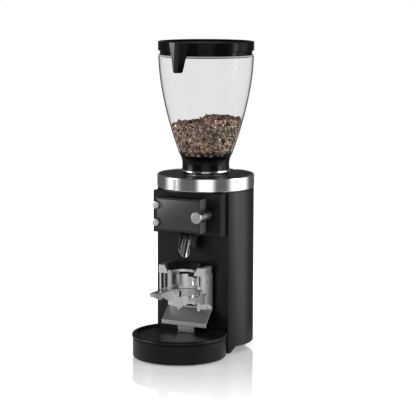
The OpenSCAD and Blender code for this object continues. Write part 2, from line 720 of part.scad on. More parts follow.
module tongue_outline(top, middle, bottom) translate([0, hopper_z1]) polygon([
    [-top, lid_h - 0.6], [-middle, -2], [-bottom, -27], [-bottom + 3, -30],
    [bottom - 3, -30], [bottom, -27], [middle, -2], [top, lid_h - 0.6]]);

module lid_seal() color("#2b2b2d") placed()
    tube([hopper_z1, hopper_z1 + 2.2], hopper_r1 - 0.7, skirt_r[1] + 0.1);

// ---- Control housing ----

module control_housing() color("#202022") placed() difference() {
    block([-housing_w, housing_w], [body_flat, housing_reach], [housing_z0, body_z1]);
    block([-housing_w + housing_wall, housing_w - housing_wall],
        [body_flat - 1, housing_reach - housing_wall],
        [housing_z0 + housing_wall, body_z1 - housing_wall]);
    chute_bore();
    for (z = button_z) bar_y(button_x, z, stem_r + fit, housing_reach - 9, housing_reach + 9);
    bar_y(knob_x, knob_z, 5.2, housing_reach - 9, housing_reach + 9);
    // Opening for the display's cable
    block([-20, 10], [housing_reach - 9, housing_reach + 9],
        [display_z1 - 28.3, display_z1 - 12.3]);
}

// Room for the chute in housing and display
module chute_bore() on_spout() translate([0, 0, 10])
    cylinder(h = chute_top + 6, r = chute_r + 0.7);

module display_frame() color("#141416") placed() difference() {
    block([display_x0, display_x1], [housing_reach, display_reach],
        [display_z0, display_z1]);
    block([display_x0 + 2, display_x1 - 2], [housing_reach - 1, display_reach - 4],
        [display_z0 + 2, display_z1 - 2]);
    // Seat of the glass
    block(glass_x, [display_reach - 5, display_reach + 1], glass_z);
    chute_bore();
    for (z = button_z) bar_y(button_x, z, button_r + 0.8, housing_reach - 1, button_reach);
    bar_y(knob_x, knob_z, knob_r + 1, housing_reach - 1, button_reach);
}

module display_glass() color("#0a0a0b") placed() difference() {
    block([glass_x[0] + 0.1, glass_x[1] - 0.1], [display_reach - 3, display_reach - 0.4],
        [glass_z[0] + 0.1, glass_z[1] - 0.1]);
    for (z = button_z) bar_y(button_x, z, button_r + 0.9, housing_reach, button_reach);
    bar_y(knob_x, knob_z, knob_r + 1.1, housing_reach, button_reach);
}

module display_boards() color("#1f5c3a") placed() {
    block([display_x0 + 17.2, display_x1 - 9.8], [display_reach - 4.8, display_reach - 3 - eps],
        [display_z0 + 10.3, display_z1 - 6.3]);
    block([button_x - 11.4, button_x + 10.6], [switch_reach - 1.6, switch_reach],
        [button_z[0] - 8.3, button_z[1] + 8.8]);
    // Switches behind the buttons
    for (z = button_z) block([button_x - 3, button_x + 3],
        [switch_reach - eps, stem_back - 1.8], [z - 3, z + 3]);
    // Pillars to the front wall
    for (z = [button_z[0] - 6.3, button_z[1] + 6.8])
        bar_y(button_x, z, 1.8, switch_reach - eps, housing_reach - housing_wall);
}

module button(z) color("#c6c8ca") placed() {
    bar_y(button_x, z, stem_r, stem_back, button_back);
    bar_y(button_x, z, button_r, button_back - eps, button_reach);
}

module button_upper() button(button_z[1]);

module button_lower() button(button_z[0]);

module encoder_body() color("#8d8f91") placed() difference() {
    union() {
        block([knob_x - 7, knob_x + 7], [knob_back - 17, knob_back - 9],
            [knob_z - 7, knob_z + 7]);
        bar_y(knob_x, knob_z, 5, knob_back - 9 - eps, knob_back - 2);
    }
    bar_y(knob_x, knob_z, stem_r + fit, knob_back - 18, knob_back - 1);
}

module encoder_sleeve() color("#c9cbcd") placed()
    bar_y(knob_x, knob_z, stem_r, knob_back - 16.5, knob_back + 15);

module knob() color("#d9dbdd") placed() difference() {
    union() {
        bar_y(knob_x, knob_z, knob_r - 1.2, knob_back, knob_back + 3);
        bar_y(knob_x, knob_z, knob_r, knob_back + 3 - eps, knob_seam);
        bar_y(knob_x, knob_z, knob_r - 0.6, knob_seam - eps, knob_seam + 1.2);
        bar_y(knob_x, knob_z, knob_r, knob_seam + 1.2 - eps, knob_reach);
    }
    bar_y(knob_x, knob_z, stem_r + fit, knob_back - 1, knob_back + 18);
}

// ---- Chute and spout ----

module chute_block() color("#1b1b1d") placed() difference() {
    union() {
        intersection() {
            on_spout() translate([0, 0, 52]) cylinder(h = 50, r = chute_r);
            block([-20, 20], [body_flat + 0.3, housing_reach + 30],
                [housing_z0 - 40, snout_z[1] + 1]);
        }
        block([-chute_r, chute_r], [body_flat + 0.3, body_flat + 17.2],
            [snout_z[0] - 3, snout_z[1] + 1]);
    }
    on_spout() translate([0, 0, 50]) cylinder(h = 15, r = spout_r + fit);
    on_spout() translate([0, 0, 60]) cylinder(h = 50, r = spout_r - 1.8);
    block([-outlet_w, outlet_w], [body_flat - 1, body_flat + 14.2],
        [snout_z[0] + 1, snout_z[1] - 2]);
}

// Half cone behind the spout that keeps grounds off the casing
module spout_guard() color("#121213") placed() difference() {
    translate([0, -guard_reach, 0]) rotate_extrude() polygon([
        [spout_r + 3, housing_z0 - 28], [spout_r + 5, housing_z0 - 28],
        [spout_r + 7.3, housing_z0], [spout_r + 5.3, housing_z0]]);
    block([-30, 30], [guard_reach, guard_reach + 34], [housing_z0 - 40, housing_z0 + 10]);
    on_spout() translate([0, 0, -30]) cylinder(h = 90, r = spout_r + 0.5);
    block([-30, 30], [body_flat - 15, body_flat + 0.3], [housing_z0 - 40, housing_z0 + 10]);
}

module spout_tube() color("#b9bbbd") placed() difference() {
    on_spout() translate([0, 0, -22]) cylinder(h = 86.5, r = spout_r);
    on_spout() translate([0, 0, -30]) cylinder(h = 100, r = spout_r - 1.5);
    // Slanting mouth
    translate([0, -spout_tip[0], spout_tip[1]]) rotate([mouth_tilt, 0, 0])
        translate([-20, -80, -40]) cube([40, 80, 81.2]);
    // Front half cut away below the housing
    on_spout() translate([-20, -20, -30]) cube([40, 20, 75]);
}

// ---- Portafilter holder ----

// Height of the apron's upper and lower faces at a reach
apron_slope = (bend_z - lip_z) / (apron_reach - bracket_reach);
function apron_over(reach) = bend_z - (reach - bracket_reach) * apron_slope;
function apron_under(reach) = apron_over(reach)
    - sheet * sqrt(1 + apron_slope * apron_slope);

module scale_bracket() color("#c9cbcd") placed() difference() {
    union() {
        along_x(-bracket_w, bracket_w) polygon([[-bracket_reach, plate_z],
            [-bracket_reach, bend_z], [-apron_reach, lip_z], [-apron_reach, lip_z - 8],
            [-apron_reach + sheet, lip_z - 8],
            [-apron_reach + sheet, apron_under(apron_reach - sheet)],
            [-bracket_reach + sheet, apron_under(bracket_reach - sheet)],
            [-bracket_reach + sheet, plate_z]]);
        mirrored() along_x(bracket_w - cheek, bracket_w) polygon([
            [-bracket_reach + eps, bend_z + 7], [-cheek_reach[0], bend_z + 15],
            [-cheek_reach[1], bend_z + 19], [-cheek_reach[1], fork_z + 1.3],
            [-cheek_reach[2], fork_z + 1.3], [-cheek_reach[2], plate_z],
            [-bracket_reach + eps, plate_z]]);
    }
    // Window for the cradle
    block([-window_w, window_w], [bracket_reach - 6, bracket_reach + 24],
        [bend_z + 2, plate_z + 1]);
    // Screw holes of the holder's top
    mirrored() translate([bracket_w - 10, -cheek_reach[0] - 4, plate_z - 12.7])
        rotate([0, 90, 0])
        cylinder(h = 20, r = 2.1);
}

module cradle_outline() {
    difference() {
        intersection() {
            translate([0, -cradle_reach]) circle(r = cradle_r);
            translate([-21.5, -bracket_reach - 5.1]) square([43, 20]);
        }
        translate([0, -cradle_reach]) circle(r = cradle_r - cradle_wall);
    }
    mirrored() translate([0, -bracket_reach]) polygon([[20, -4.2], [21.4, -6.2],
        [24, -6.2], [25.8, -4.2], [25.8, -2], [37, -2], [37, -fit], [23.8, -fit],
        [23.8, -3.6]]);
}

module cradle() color("#d4d6d8") placed() difference() {
    translate([0, 0, bend_z - 15]) linear_extrude(cradle_z1 - bend_z + 15) cradle_outline();
    // Lower edge follows the apron
    along_x(-60, 60) polygon([for (reach = [bracket_reach - 26.4, bracket_reach + 23.6])
        [-reach, apron_over(reach) + fit], [-bracket_reach - 23.6, lip_z - 6],
        [-bracket_reach + 26.4, lip_z - 6]]);
    // Lower edge behind the plate clears the window's sill
    block([-30, 30], [bracket_reach - 16, bracket_reach], [lip_z - 6, bend_z + 2.3]);
    // Way for the fork's bridge
    block([-25.9, 25.9], [bracket_reach - 16, bracket_reach + 13.6],
        [fork_z - fork_t - fork_drop - 0.6, fork_z + 1.2]);
}

// Two side blocks joined by the half ring that the funnel guide stands on
module holder_top() color("#cfd1d3") placed() difference() {
    union() {
        mirrored() along_y(bracket_reach + 1.6, gap_reach) polygon([[29, arm_z[0]],
            [bracket_w, arm_z[0]], [bracket_w, arm_z[1]], [bracket_w - 12.8, arm_z[1]]]);
        difference() {
            translate([0, -guide_reach, arm_z[0]])
                cylinder(h = ring_top - arm_z[0], r = guide_ring[1]);
            block([-60, 60], [guide_reach, guide_reach + 50], [plate_z - 10, plate_z + 30]);
        }
    }
    translate([0, -guide_reach, plate_z - 10]) cylinder(h = 60, r = guide_ring[0]);
    // Slots for the height screw's pointer
    mirrored() block([bracket_w - 5, bracket_w + 1], [cheek_reach[0] + 2, cheek_reach[0] + 6],
        [arm_z[0] + 3, arm_z[0] + 12]);
}

// Rear half of a funnel: the coffee falls past it into the basket
module funnel_guide() color("#151516") placed() difference() {
    translate([0, -guide_reach, ring_top]) rotate_extrude() polygon([
        [guide_cone[0] + 0.5, 0], [guide_cone[0] + 2.5, 0],
        [guide_cone[1] + 2, 13.5], [guide_cone[1], 13.5]]);
    block([-60, 60], [guide_reach + 0.3, guide_reach + 50], [ring_top - 1, ring_top + 20]);
}

module portafilter_fork() color("#b9bbbd") placed() {
    translate([0, 0, fork_z - fork_t]) linear_extrude(fork_t) difference() {
        union() {
            translate([-fork_w, -fork_reach]) square([2 * fork_w, fork_reach - shoulder]);
            translate([-bracket_w + cheek + 0.4, -shoulder - eps])
                square([2 * (bracket_w - cheek - 0.4), shoulder - bracket_reach - 0.4]);
            translate([-window_w + 0.5, -bracket_reach - 13.6])
                square([2 * window_w - 1, 23.5]);
        }
        translate([0, -gap_reach]) circle(r = gap_r);
        translate([-gap_r, -gap_reach - 56]) square([2 * gap_r, 56]);
        translate([0, -cradle_reach]) circle(r = cradle_r - cradle_wall);
        mirrored() translate([25.5, -bracket_reach - 2.5]) square([12, 10]);
    }
    // Curved flange under the bridge, behind the cradle's gap
    intersection() {
        translate([0, -cradle_reach, 0]) tube([fork_z - fork_t - 13, fork_z - fork_t + eps],
            cradle_r + 1.8, cradle_r + 0.3);
        block([-19.2, 19.2], [bracket_reach - 16, cradle_reach], [bend_z, fork_z]);
    }
    // Side flanges that stiffen the prongs
    mirrored() along_x(fork_w - 2.5, fork_w) polygon([
        [-shoulder - 3.7, fork_z - fork_t + eps], [-shoulder - 3.7, fork_z - 20],
        [-gap_reach, fork_z - 20], [-fork_reach + 8, fork_z - 8],
        [-fork_reach + 8, fork_z - fork_t + eps]]);
    // Three fingers at each tip
    mirrored() for (i = [0 : 2]) let (x = gap_r + 1.2 + i * 5) block([x, x + 2.6],
        [fork_reach - 2.5, fork_reach], [fork_z - fork_t - 3.5, fork_z - fork_t + eps]);
}

module rest_pad() color("#0e0e0f") placed() difference() {
    union() {
        translate([0, -cradle_reach, cradle_z1]) cylinder(h = 4, r = cradle_r);
        translate([0, -cradle_reach, cradle_z1 - 5])
            cylinder(h = 5 + eps, r = cradle_r - cradle_wall - fit);
    }
    translate([0, -cradle_reach, cradle_z1 - 10])
        cylinder(h = 20, r = cradle_r - cradle_wall - 3);
    for (x = [[-40, -5], [18, 40]]) block(x, [cradle_reach - 34, cradle_reach + 34],
        [cradle_z1 - 10, cradle_z1 + 10]);
    block([-40, 40], [cradle_reach - 4.3, cradle_reach + 34],
        [cradle_z1 - 10, cradle_z1 + 10]);
}

bottom_cover();
rubber_feet();
base_screws();
base_casting();
load_cell();
scale_post();
drip_tray();
body_floor();
body_shell();
rear_panel();
power_inlet();
switch_frame();
switch_rocker();
control_board();
run_capacitor();
top_plate();
grind_chamber();
motor_stator();
motor_bells();
motor_posts();
bearings();
rotor_shaft();
rotor_core();
cooling_fan();
lower_burr_carrier();
lower_burr();
lower_burr_screws();
upper_burr();
upper_burr_screws();
upper_burr_carrier();
adjust_ring();
ring_lug();
ring_cover();
hopper_collar();
hopper_neck();
bell_ring();
hopper_bell();
gate_slide();
coffee_beans();
lid();
lid_tongue();
lid_seal();
control_housing();
display_frame();
display_glass();
display_boards();
button_upper();
button_lower();
encoder_body();
encoder_sleeve();
knob();
chute_block();
spout_guard();
spout_tube();
scale_bracket();
cradle();
holder_top();
funnel_guide();
portafilter_fork();
rest_pad();
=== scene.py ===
"""Surfaces and finishes of an on-demand espresso grinder, built round its CAD frame."""

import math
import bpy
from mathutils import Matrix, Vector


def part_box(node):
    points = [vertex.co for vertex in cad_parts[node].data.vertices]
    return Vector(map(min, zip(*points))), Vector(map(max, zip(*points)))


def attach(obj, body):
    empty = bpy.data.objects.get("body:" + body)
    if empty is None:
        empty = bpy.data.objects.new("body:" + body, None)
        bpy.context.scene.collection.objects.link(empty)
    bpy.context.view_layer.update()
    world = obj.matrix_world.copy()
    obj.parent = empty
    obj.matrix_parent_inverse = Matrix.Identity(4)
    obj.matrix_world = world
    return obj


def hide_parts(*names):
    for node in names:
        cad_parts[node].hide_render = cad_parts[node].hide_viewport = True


bl_info = {
    "name": "Espresso grinder",
    "version": (1, 0, 0),
    "blender": (4, 5, 0),
    "location": "View3D > Sidebar > Grinder",
    "description": "Builds the shown surfaces and finishes of an on-demand espresso grinder",
    "category": "Add Mesh",
}

import bmesh
import bpy
import numpy as np
from mathutils import Matrix, Vector

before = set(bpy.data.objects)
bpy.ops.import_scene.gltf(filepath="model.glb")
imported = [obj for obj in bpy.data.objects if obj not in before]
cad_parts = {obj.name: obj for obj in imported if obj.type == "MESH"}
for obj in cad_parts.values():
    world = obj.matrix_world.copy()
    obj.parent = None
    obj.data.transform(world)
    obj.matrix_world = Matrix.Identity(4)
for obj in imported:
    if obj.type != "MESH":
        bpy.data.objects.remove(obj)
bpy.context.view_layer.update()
MM = 0.001
PLATE_LOW, PLATE_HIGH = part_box("top_plate")
AXIS = np.array([0.0, (PLATE_LOW.y + PLATE_HIGH.y) / 2])
BELL_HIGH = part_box("hopper_bell")[1]
LID_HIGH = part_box("lid")[1]
RING_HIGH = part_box("adjust_ring")[1]
COVER_LOW, COVER_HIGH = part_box("ring_cover")
COLLAR_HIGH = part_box("hopper_collar")[1]
KNOB_LOW, KNOB_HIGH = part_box("knob")
SPOUT_LOW, SPOUT_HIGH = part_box("spout_tube")
GOLDEN_ANGLE = math.pi * (3 - math.sqrt(5))
WELD = 2e-6
COPLANAR = math.radians(0.3)
CREASE = 26
BEVEL_STEPS = 3
NORMAL_WEIGHT = 60


# ---- Sizes and colours that a user may change ----


def length(name, text, value):
    """A length in metres."""
    return bpy.props.FloatProperty(
        name=name, description=text, default=value, min=0, max=1,
        subtype="DISTANCE", unit="LENGTH", precision=5)


def count(name, text, value, low, high):
    """A whole number between two limits."""
    return bpy.props.IntProperty(name=name, description=text, default=value, min=low, max=high)


def colour(name, text, value):
    """A linear RGB colour."""
    return bpy.props.FloatVectorProperty(
        name=name, description=text, default=value, size=3, min=0, max=1, subtype="COLOR")


class GrinderSizes(bpy.types.PropertyGroup):
    """Lengths and counts of the shown surfaces."""

    segments: count("Segments", "Steps round a turned surface", 192, 32, 512)
    edge: length("Edge", "Radius of the rounded edges of cast and moulded parts", 0.0004)
    bell_foot: length("Bell foot", "Radius of the clear bell where it stands on the neck",
        0.0516)
    bell_waist: length("Bell start", "Radius of the clear bell where its curve starts", 0.0555)
    bell_start: length("Bell start height", "Height where the bell's curve starts", 0.4005)
    bell_rim: length("Bell rim", "Outer radius of the bell's rim", BELL_HIGH.x)
    bell_wall: length("Bell wall", "Wall of the clear bell", 0.0022)
    bell_power: bpy.props.FloatProperty(
        name="Bell power", description="How quickly the bell opens above its foot",
        default=1.7, min=1, max=3)
    bean_length: length("Bean length", "Half the length of a coffee bean", 0.0048)
    bean_width: length("Bean width", "Half the width of a coffee bean", 0.0034)
    bean_height: length("Bean height", "Half the thickness of a coffee bean", 0.0024)
    bean_level: length("Bean level", "Height of the heap at the bell's wall", 0.462)
    bean_tilt: length("Bean tilt", "How much higher the heap is on its right side", 0.006)
    side_beans: count("Side beans", "Beans that lie against the bell", 1100, 100, 3000)
    top_beans: count("Top beans", "Beans that lie on top of the heap", 560, 50, 1500)


class GrinderColours(bpy.types.PropertyGroup):
    """Colours of the finishes."""

    coat: colour("Coat", "Satin coat of casing, housing and base", (0.0038, 0.0038, 0.004))
    plastic: colour("Plastic", "Gloss plastic of lid and neck", (0.0026, 0.0026, 0.0027))
    screen: colour("Screen", "Glass in front of the display", (0.006, 0.006, 0.0061))
    chrome: colour("Chrome", "Polished ring and collar", (0.78, 0.79, 0.80))
    steel: colour("Steel", "Brushed sheet steel", (0.56, 0.56, 0.565))
    aluminium: colour("Aluminium", "Satin aluminium of knob and buttons", (0.62, 0.63, 0.635))
    disc: colour("Disc", "Disc on top of the ring", (0.055, 0.055, 0.056))
    clear: colour("Clear", "Tint of the bell's wall", (0.87, 0.875, 0.88))
    bean: colour("Bean", "Roasted bean", (0.15, 0.085, 0.055))
    floor: colour("Floor", "Floor of the studio", (0.8, 0.8, 0.8))


# ---- Surfaces ----


def rounded(corners, radius, steps=5, closed=True):
    """Each corner becomes a quadratic curve between the two points that lie one radius away
    along its edges, and never more than 0.45 of an edge."""
    p = np.asarray(corners, float)
    before, after = np.roll(p, 1, 0) - p, np.roll(p, -1, 0) - p
    r = np.broadcast_to(np.asarray(radius, float), len(p)).copy()
    if not closed:
        r[[0, -1]] = 0

    def towards(edge):
        size = np.linalg.norm(edge, axis=1)
        return p + edge * (np.minimum(r, 0.45 * size) / np.maximum(size, 1e-9))[:, None]

    s = np.linspace(0, 1, steps + 1)[None, :, None]
    a, c = towards(before)[:, None], towards(after)[:, None]
    return ((1 - s) ** 2 * a + 2 * s * (1 - s) * p[:, None] + s**2 * c).reshape(-1, p.shape[1])


def turned(profile, segments, centre=AXIS, start=0.0, sweep=2 * math.pi, open_ends=False):
    """A profile of (radius, height) turned about an upright axis: x and y are the radius times
    the cosine and sine of the angle."""
    p = np.asarray(profile, float)
    t = start + sweep * np.arange(segments + open_ends) / segments
    r = p[:, :1]
    return np.stack([centre[0] + r * np.cos(t), centre[1] + r * np.sin(t),
        p[:, 1:] + 0 * t], -1)


def extruded(loop, heights):
    """The points of a loop at each of several heights."""
    return np.stack([np.column_stack([loop, np.full(len(loop), z)]) for z in heights], 1)


def tidy(mesh, sharp=35, flat=False):
    """Welds the seams and poles, turns the faces outwards and marks the edges sharper than an
    angle in degrees. With flat, triangles that lie in one plane become one face."""
    bm = bmesh.new()
    bm.from_mesh(mesh)
    bmesh.ops.remove_doubles(bm, verts=bm.verts, dist=WELD)
    if flat:
        bmesh.ops.dissolve_limit(bm, angle_limit=COPLANAR, verts=bm.verts, edges=bm.edges)
    else:
        bmesh.ops.dissolve_degenerate(bm, edges=bm.edges, dist=WELD)
    bmesh.ops.recalc_face_normals(bm, faces=bm.faces)
    bm.to_mesh(mesh)
    bm.free()
    for layer in [a for a in mesh.attributes if a.name in ("custom_normal", "sharp_face")]:
        mesh.attributes.remove(layer)
    mesh.shade_smooth()
    mesh.set_sharp_from_angle(angle=math.radians(sharp))
    return mesh


def quads_between(n, m, wrap):
    """Quads between neighbouring points of a grid. A wrapped direction closes on itself."""
    i = np.arange(n if wrap[0] else n - 1)[:, None]
    j = np.arange(m if wrap[1] else m - 1)[None]
    i2, j2 = (i + 1) % n, (j + 1) % m
    return np.stack(np.broadcast_arrays(
        i * m + j, i2 * m + j, i2 * m + j2, i * m + j2), -1).reshape(-1, 4)


def skin(name, grid, wrap=(True, True), caps=False, sharp=35):
    """A mesh through the points of a grid. Caps close the two ends of its second direction."""
    n, m = grid.shape[:2]
    quads = quads_between(n, m, wrap).tolist()
    if caps:
        ring = np.arange(n) * m
        quads += [ring.tolist(), (ring + m - 1).tolist()]
    mesh = bpy.data.meshes.new(name)
    mesh.from_pydata(grid.reshape(-1, 3), [], quads)
    return tidy(mesh, sharp)


def joined(name, meshes):
    """One mesh made of several."""
    bm = bmesh.new()
    for mesh in meshes:
        bm.from_mesh(mesh)
        bpy.data.meshes.remove(mesh)
    whole = bpy.data.meshes.new(name)
    bm.to_mesh(whole)
    bm.free()
    return whole


def given(thing, **values):
    """A thing with some of its properties set."""
    for key, value in values.items():
        setattr(thing, key, value)
    return thing


def linked(name, data, **values):
    """An object in the scene."""
    obj = given(bpy.data.objects.new(name, data), **values)
    bpy.context.scene.collection.objects.link(obj)
    return obj


def even_normals(obj, keep_sharp=True):
    """Large faces keep their own normals, and the small ones beside them follow."""
    given(obj.modifiers.new("Even normals", "WEIGHTED_NORMAL"), keep_sharp=keep_sharp,
        weight=NORMAL_WEIGHT)


def place(mesh, body, look, *stands_for, weighted=True):
    """Shows a mesh, under its own name, as a piece that rides on a body and stands for CAD
    nodes."""
    slot, material = finishes()[look]
    mesh.materials.clear()
    mesh.materials.append(material)
    obj = linked(mesh.name, mesh)
    if weighted:
        even_normals(obj)
    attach(obj, body)
    if stands_for:
        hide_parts(*stands_for)
    return obj


def softened(name, node, body, look, edge):
    """A copy of a CAD node with its flat triangles joined into faces and its edges rounded."""
    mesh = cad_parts[node].data.copy()
    mesh.name = name
    obj = place(tidy(mesh, CREASE, True), body, look, node, weighted=False)
    if edge:
        given(obj.modifiers.new("Edges", "BEVEL"), width=edge, segments=BEVEL_STEPS,
            limit_method="ANGLE", angle_limit=math.radians(CREASE), use_clamp_overlap=False,
            miter_outer="MITER_ARC")
        sharp = mesh.attributes.get("sharp_edge")
        if sharp:
            mesh.attributes.remove(sharp)
    even_normals(obj, not edge)


def repaint(node, look):
    """Gives a CAD node a finish and leaves its mesh alone."""
    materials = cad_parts[node].data.materials
    materials.clear()
    materials.append(finishes()[look][1])


# ---- Finishes ----


class Nodes:
    """A node tree that is filled through short calls."""

    def __init__(self, tree):
        self.tree = tree
        tree.nodes.clear()

    def add(self, kind, feeds=None, **values):
        """A node with its properties set. A feed is an output that is linked to an input, or
        the input's own value."""
        node = given(self.tree.nodes.new(kind), **values)
        for key, value in (feeds or {}).items():
            if isinstance(value, bpy.types.NodeSocket):
                self.join(value, node.inputs[key])
            else:
                node.inputs[key].default_value = value
        return node

    def join(self, a, b):
        """Links an output to an input."""
        self.tree.links.new(a, b)

    def maths(self, operation, *values):
        """The result of a Math node for numbers or outputs."""
        return self.add("ShaderNodeMath", dict(enumerate(values)),
            operation=operation).outputs[0]

    def product(self, first, *others):
        """Numbers or outputs multiplied together."""
        for value in others:
            first = self.maths("MULTIPLY", first, value)
        return first

    def parts(self, vector):
        """The x, y and z of a vector."""
        return self.add("ShaderNodeSeparateXYZ", {0: vector}).outputs

    def ranged(self, value, low, high, start=0.3, end=0.7, kind="LINEAR"):
        """A value between start and end moved to low and high."""
        return self.add("ShaderNodeMapRange", {"Value": value, "From Min": start,
            "From Max": end, "To Min": low, "To Max": high}, interpolation_type=kind).outputs[0]

    def glow(self, strength):
        """White light of a strength."""
        return self.add("ShaderNodeEmission", {"Strength": strength}).outputs[0]

    def mixed(self, factor, first, second):
        """The first shader where the factor is 0, the second where it is 1."""
        return self.add("ShaderNodeMixShader", {0: factor, 1: first, 2: second}).outputs[0]


class Finish(Nodes):
    """A material whose Principled shader reads patterns on Object coordinates."""

    def __init__(self, name, base, rough, metal=0.0, **sockets):
        self.material = bpy.data.materials.new(name)
        self.material.use_nodes = True
        super().__init__(self.material.node_tree)
        feeds = {key.replace("_", " "): value for key, value in sockets.items()}
        self.shader = self.add("ShaderNodeBsdfPrincipled",
            {"Base Color": (*base, 1), "Roughness": rough, "Metallic": metal, **feeds})
        self.surface = self.add("ShaderNodeOutputMaterial").inputs["Surface"]
        self.join(self.shader.outputs[0], self.surface)
        self.where = self.add("ShaderNodeTexCoord").outputs["Object"]
        self.height = None

    def noise(self, scale, detail, rough=0.5):
        """Noise whose scale, in features per metre, may differ along x, y and z."""
        mapping = self.add("ShaderNodeMapping", {"Vector": self.where,
            "Scale": scale if isinstance(scale, tuple) else (scale,) * 3})
        return self.add("ShaderNodeTexNoise", {"Vector": mapping.outputs[0], "Scale": 1,
            "Detail": detail, "Roughness": rough}).outputs["Fac"]

    def patterned(self, tone, spread, wear, low, high, *reliefs):
        """Base colour, roughness and height that follow noises: how far the colour spreads,
        the lowest and highest roughness, and a depth and strength for each relief. A relief
        without a noise of its own follows the wear."""
        base = tuple(self.shader.inputs["Base Color"].default_value)[:3]
        worn = self.noise(*wear)
        self.shade(self.noise(*tone), base, spread).roughness(worn, low, high)
        for noise, depth, strength in reliefs:
            self.bump(self.noise(*noise) if noise else worn, depth, strength)
        return self.material

    def roughness(self, value, low, high):
        """The roughness moved between two limits by a pattern."""
        self.join(self.ranged(value, low, high), self.shader.inputs["Roughness"])
        return self

    def colours(self, value, stops):
        """A ramp through (place, colour) stops as the base colour."""
        ramp = self.add("ShaderNodeValToRGB", {"Fac": value})
        elements = ramp.color_ramp.elements
        while len(elements) < len(stops):
            elements.new(0.5)
        for element, (position, rgb) in zip(elements, stops):
            element.position = position
            element.color = (*rgb, 1)
        self.join(ramp.outputs["Color"], self.shader.inputs["Base Color"])
        return self

    def shade(self, value, base, spread, start=0.3, end=0.7):
        """The base colour made a little darker and lighter by a pattern."""
        return self.colours(value, [(start, times(base, 1 - spread)),
            (end, times(base, 1 + spread))])

    def bump(self, value, depth, strength=1.0):
        """Adds a height pattern of a depth in metres to those before it."""
        feeds = {"Strength": strength, "Distance": depth, "Height": value}
        if self.height is not None:
            feeds["Normal"] = self.height
        self.height = self.add("ShaderNodeBump", feeds).outputs["Normal"]
        self.join(self.height, self.shader.inputs["Normal"])
        return self


def times(base, factor):
    """A colour made lighter or darker."""
    return tuple(c * factor for c in base)


def coat_finish(name, base, rough, gloss):
    """Powder coat: a fine orange peel, with slightly uneven gloss."""
    return Finish(name, base, rough, Specular_IOR_Level=gloss).patterned((60, 4), 0.12,
        (260, 3), rough - 0.05, rough + 0.05, ((900, 2), 0.00001, 1.0),
        ((2700, 1), 0.000004, 1.0))


def gloss_finish(name, base, rough, gloss):
    """Moulded gloss plastic with faint flow marks and hairline wear."""
    return Finish(name, base, rough, Specular_IOR_Level=gloss).patterned((35, 3), 0.15,
        ((40, 40, 2600), 2), rough - 0.03, rough + 0.05, ((45, 2), 0.00003, 0.5))


def plain_plastic(name, base, rough):
    """Moulded plastic with a spark-eroded grain."""
    return Finish(name, base, rough).patterned((80, 3), 0.1, (1500, 2), rough - 0.06,
        rough + 0.06, (None, 0.00002, 1.0))


def cast_metal(name, base, rough):
    """Cast or machined metal of the hidden works."""
    return Finish(name, base, rough, 1.0).patterned((90, 4), 0.15, (700, 4, 0.6),
        rough - 0.1, rough + 0.1, (None, 0.00003, 1.0))


def turned_metal(name, base, rough, grain, depth):
    """Metal turned about the upright axis: its lines run round it."""
    return Finish(name, base, rough, 1.0).patterned(((8, 8, grain / 8), 3), 0.04,
        ((18, 18, grain), 2), rough - 0.03, rough + 0.05, (None, depth, 1.0))


def faced_metal(name, base, rough, scale, depth=4e-7, spread=0.05):
    """Metal brushed one way: scale is small along the lines and large across them."""
    return Finish(name, base, rough, 1.0).patterned((tuple(s / 9 for s in scale), 2), spread,
        (scale, 2), rough - 0.04, rough + 0.06, (None, depth, 1.0))


def tongue_finish(name, base):
    """Gloss plastic with a painted highlight on its left bevel, lighter towards its top."""
    # painted highlight: between bevel_start and bevel_end the left bevel turns to the pale
    # grey, more so towards its top
    pale, bevel_start, bevel_end = (0.17, 0.17, 0.172), -0.0166, -0.0158
    f = Finish(name, base, 0.12, Specular_IOR_Level=0.06)
    low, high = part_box("lid_tongue")
    x, _, z = f.parts(f.where)
    painted_highlight = f.product(f.ranged(x, 1.0, 0.0, bevel_start, bevel_end),
        f.ranged(z, 0.25, 1.0, low.z, high.z))
    return (f.colours(painted_highlight, [(0.0, base), (1.0, pale)])
        .roughness(f.noise((40, 40, 2600), 2), 0.1, 0.17)
        .bump(f.noise(45, 2), 0.00003, 0.5)).material


def clear_finish(name, tint):
    """Clear moulded plastic, with the faint waves of its wall. It lets the lamps' light
    through to what lies behind it."""
    f = Finish(name, tint, 0.015, Transmission_Weight=1.0, IOR=1.08)
    f.bump(f.noise((14, 14, 5), 2), 0.00003, 0.35)
    path = f.add("ShaderNodeLightPath").outputs
    through = f.add("ShaderNodeBsdfTransparent", {"Color": (0.94, 0.94, 0.94, 1)})
    f.join(f.mixed(f.maths("MAXIMUM", path["Is Shadow Ray"], path["Is Diffuse Ray"]),
        f.shader.outputs[0], through.outputs[0]), f.surface)
    return f.material


def screen_finish(name, base):
    """Dark anti-glare glass with a painted sheen that fades from the upper left to the lower
    right.
    """
    f = Finish(name, base, 0.3, Specular_IOR_Level=1.0, Coat_Weight=0.4, Coat_Roughness=0.24)
    low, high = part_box("display_glass")
    across, up = high.x - low.x, high.z - low.z
    mapping = f.add("ShaderNodeMapping", {"Vector": f.where,
        "Location": (-low.x / across, 0, -low.z / up), "Scale": (1 / across, 1, 1 / up)})
    x, _, z = f.parts(mapping.outputs[0])
    # painted sheen: the base colour is raised up to 28 times towards the upper left, standing
    # in for a reflection
    painted_sheen = ((0.0, 0.4), (0.333, 1.4), (0.58, 5.5), (0.833, 17), (1.0, 28))
    return (f.colours(f.ranged(f.maths("SUBTRACT", z, x), 0.0, 1.0, -0.5, 1.0),
        [(at, times(base, factor)) for at, factor in painted_sheen])
        .roughness(f.noise(200, 3), 0.28, 0.34).bump(f.noise(60, 2), 0.00001, 0.5)).material


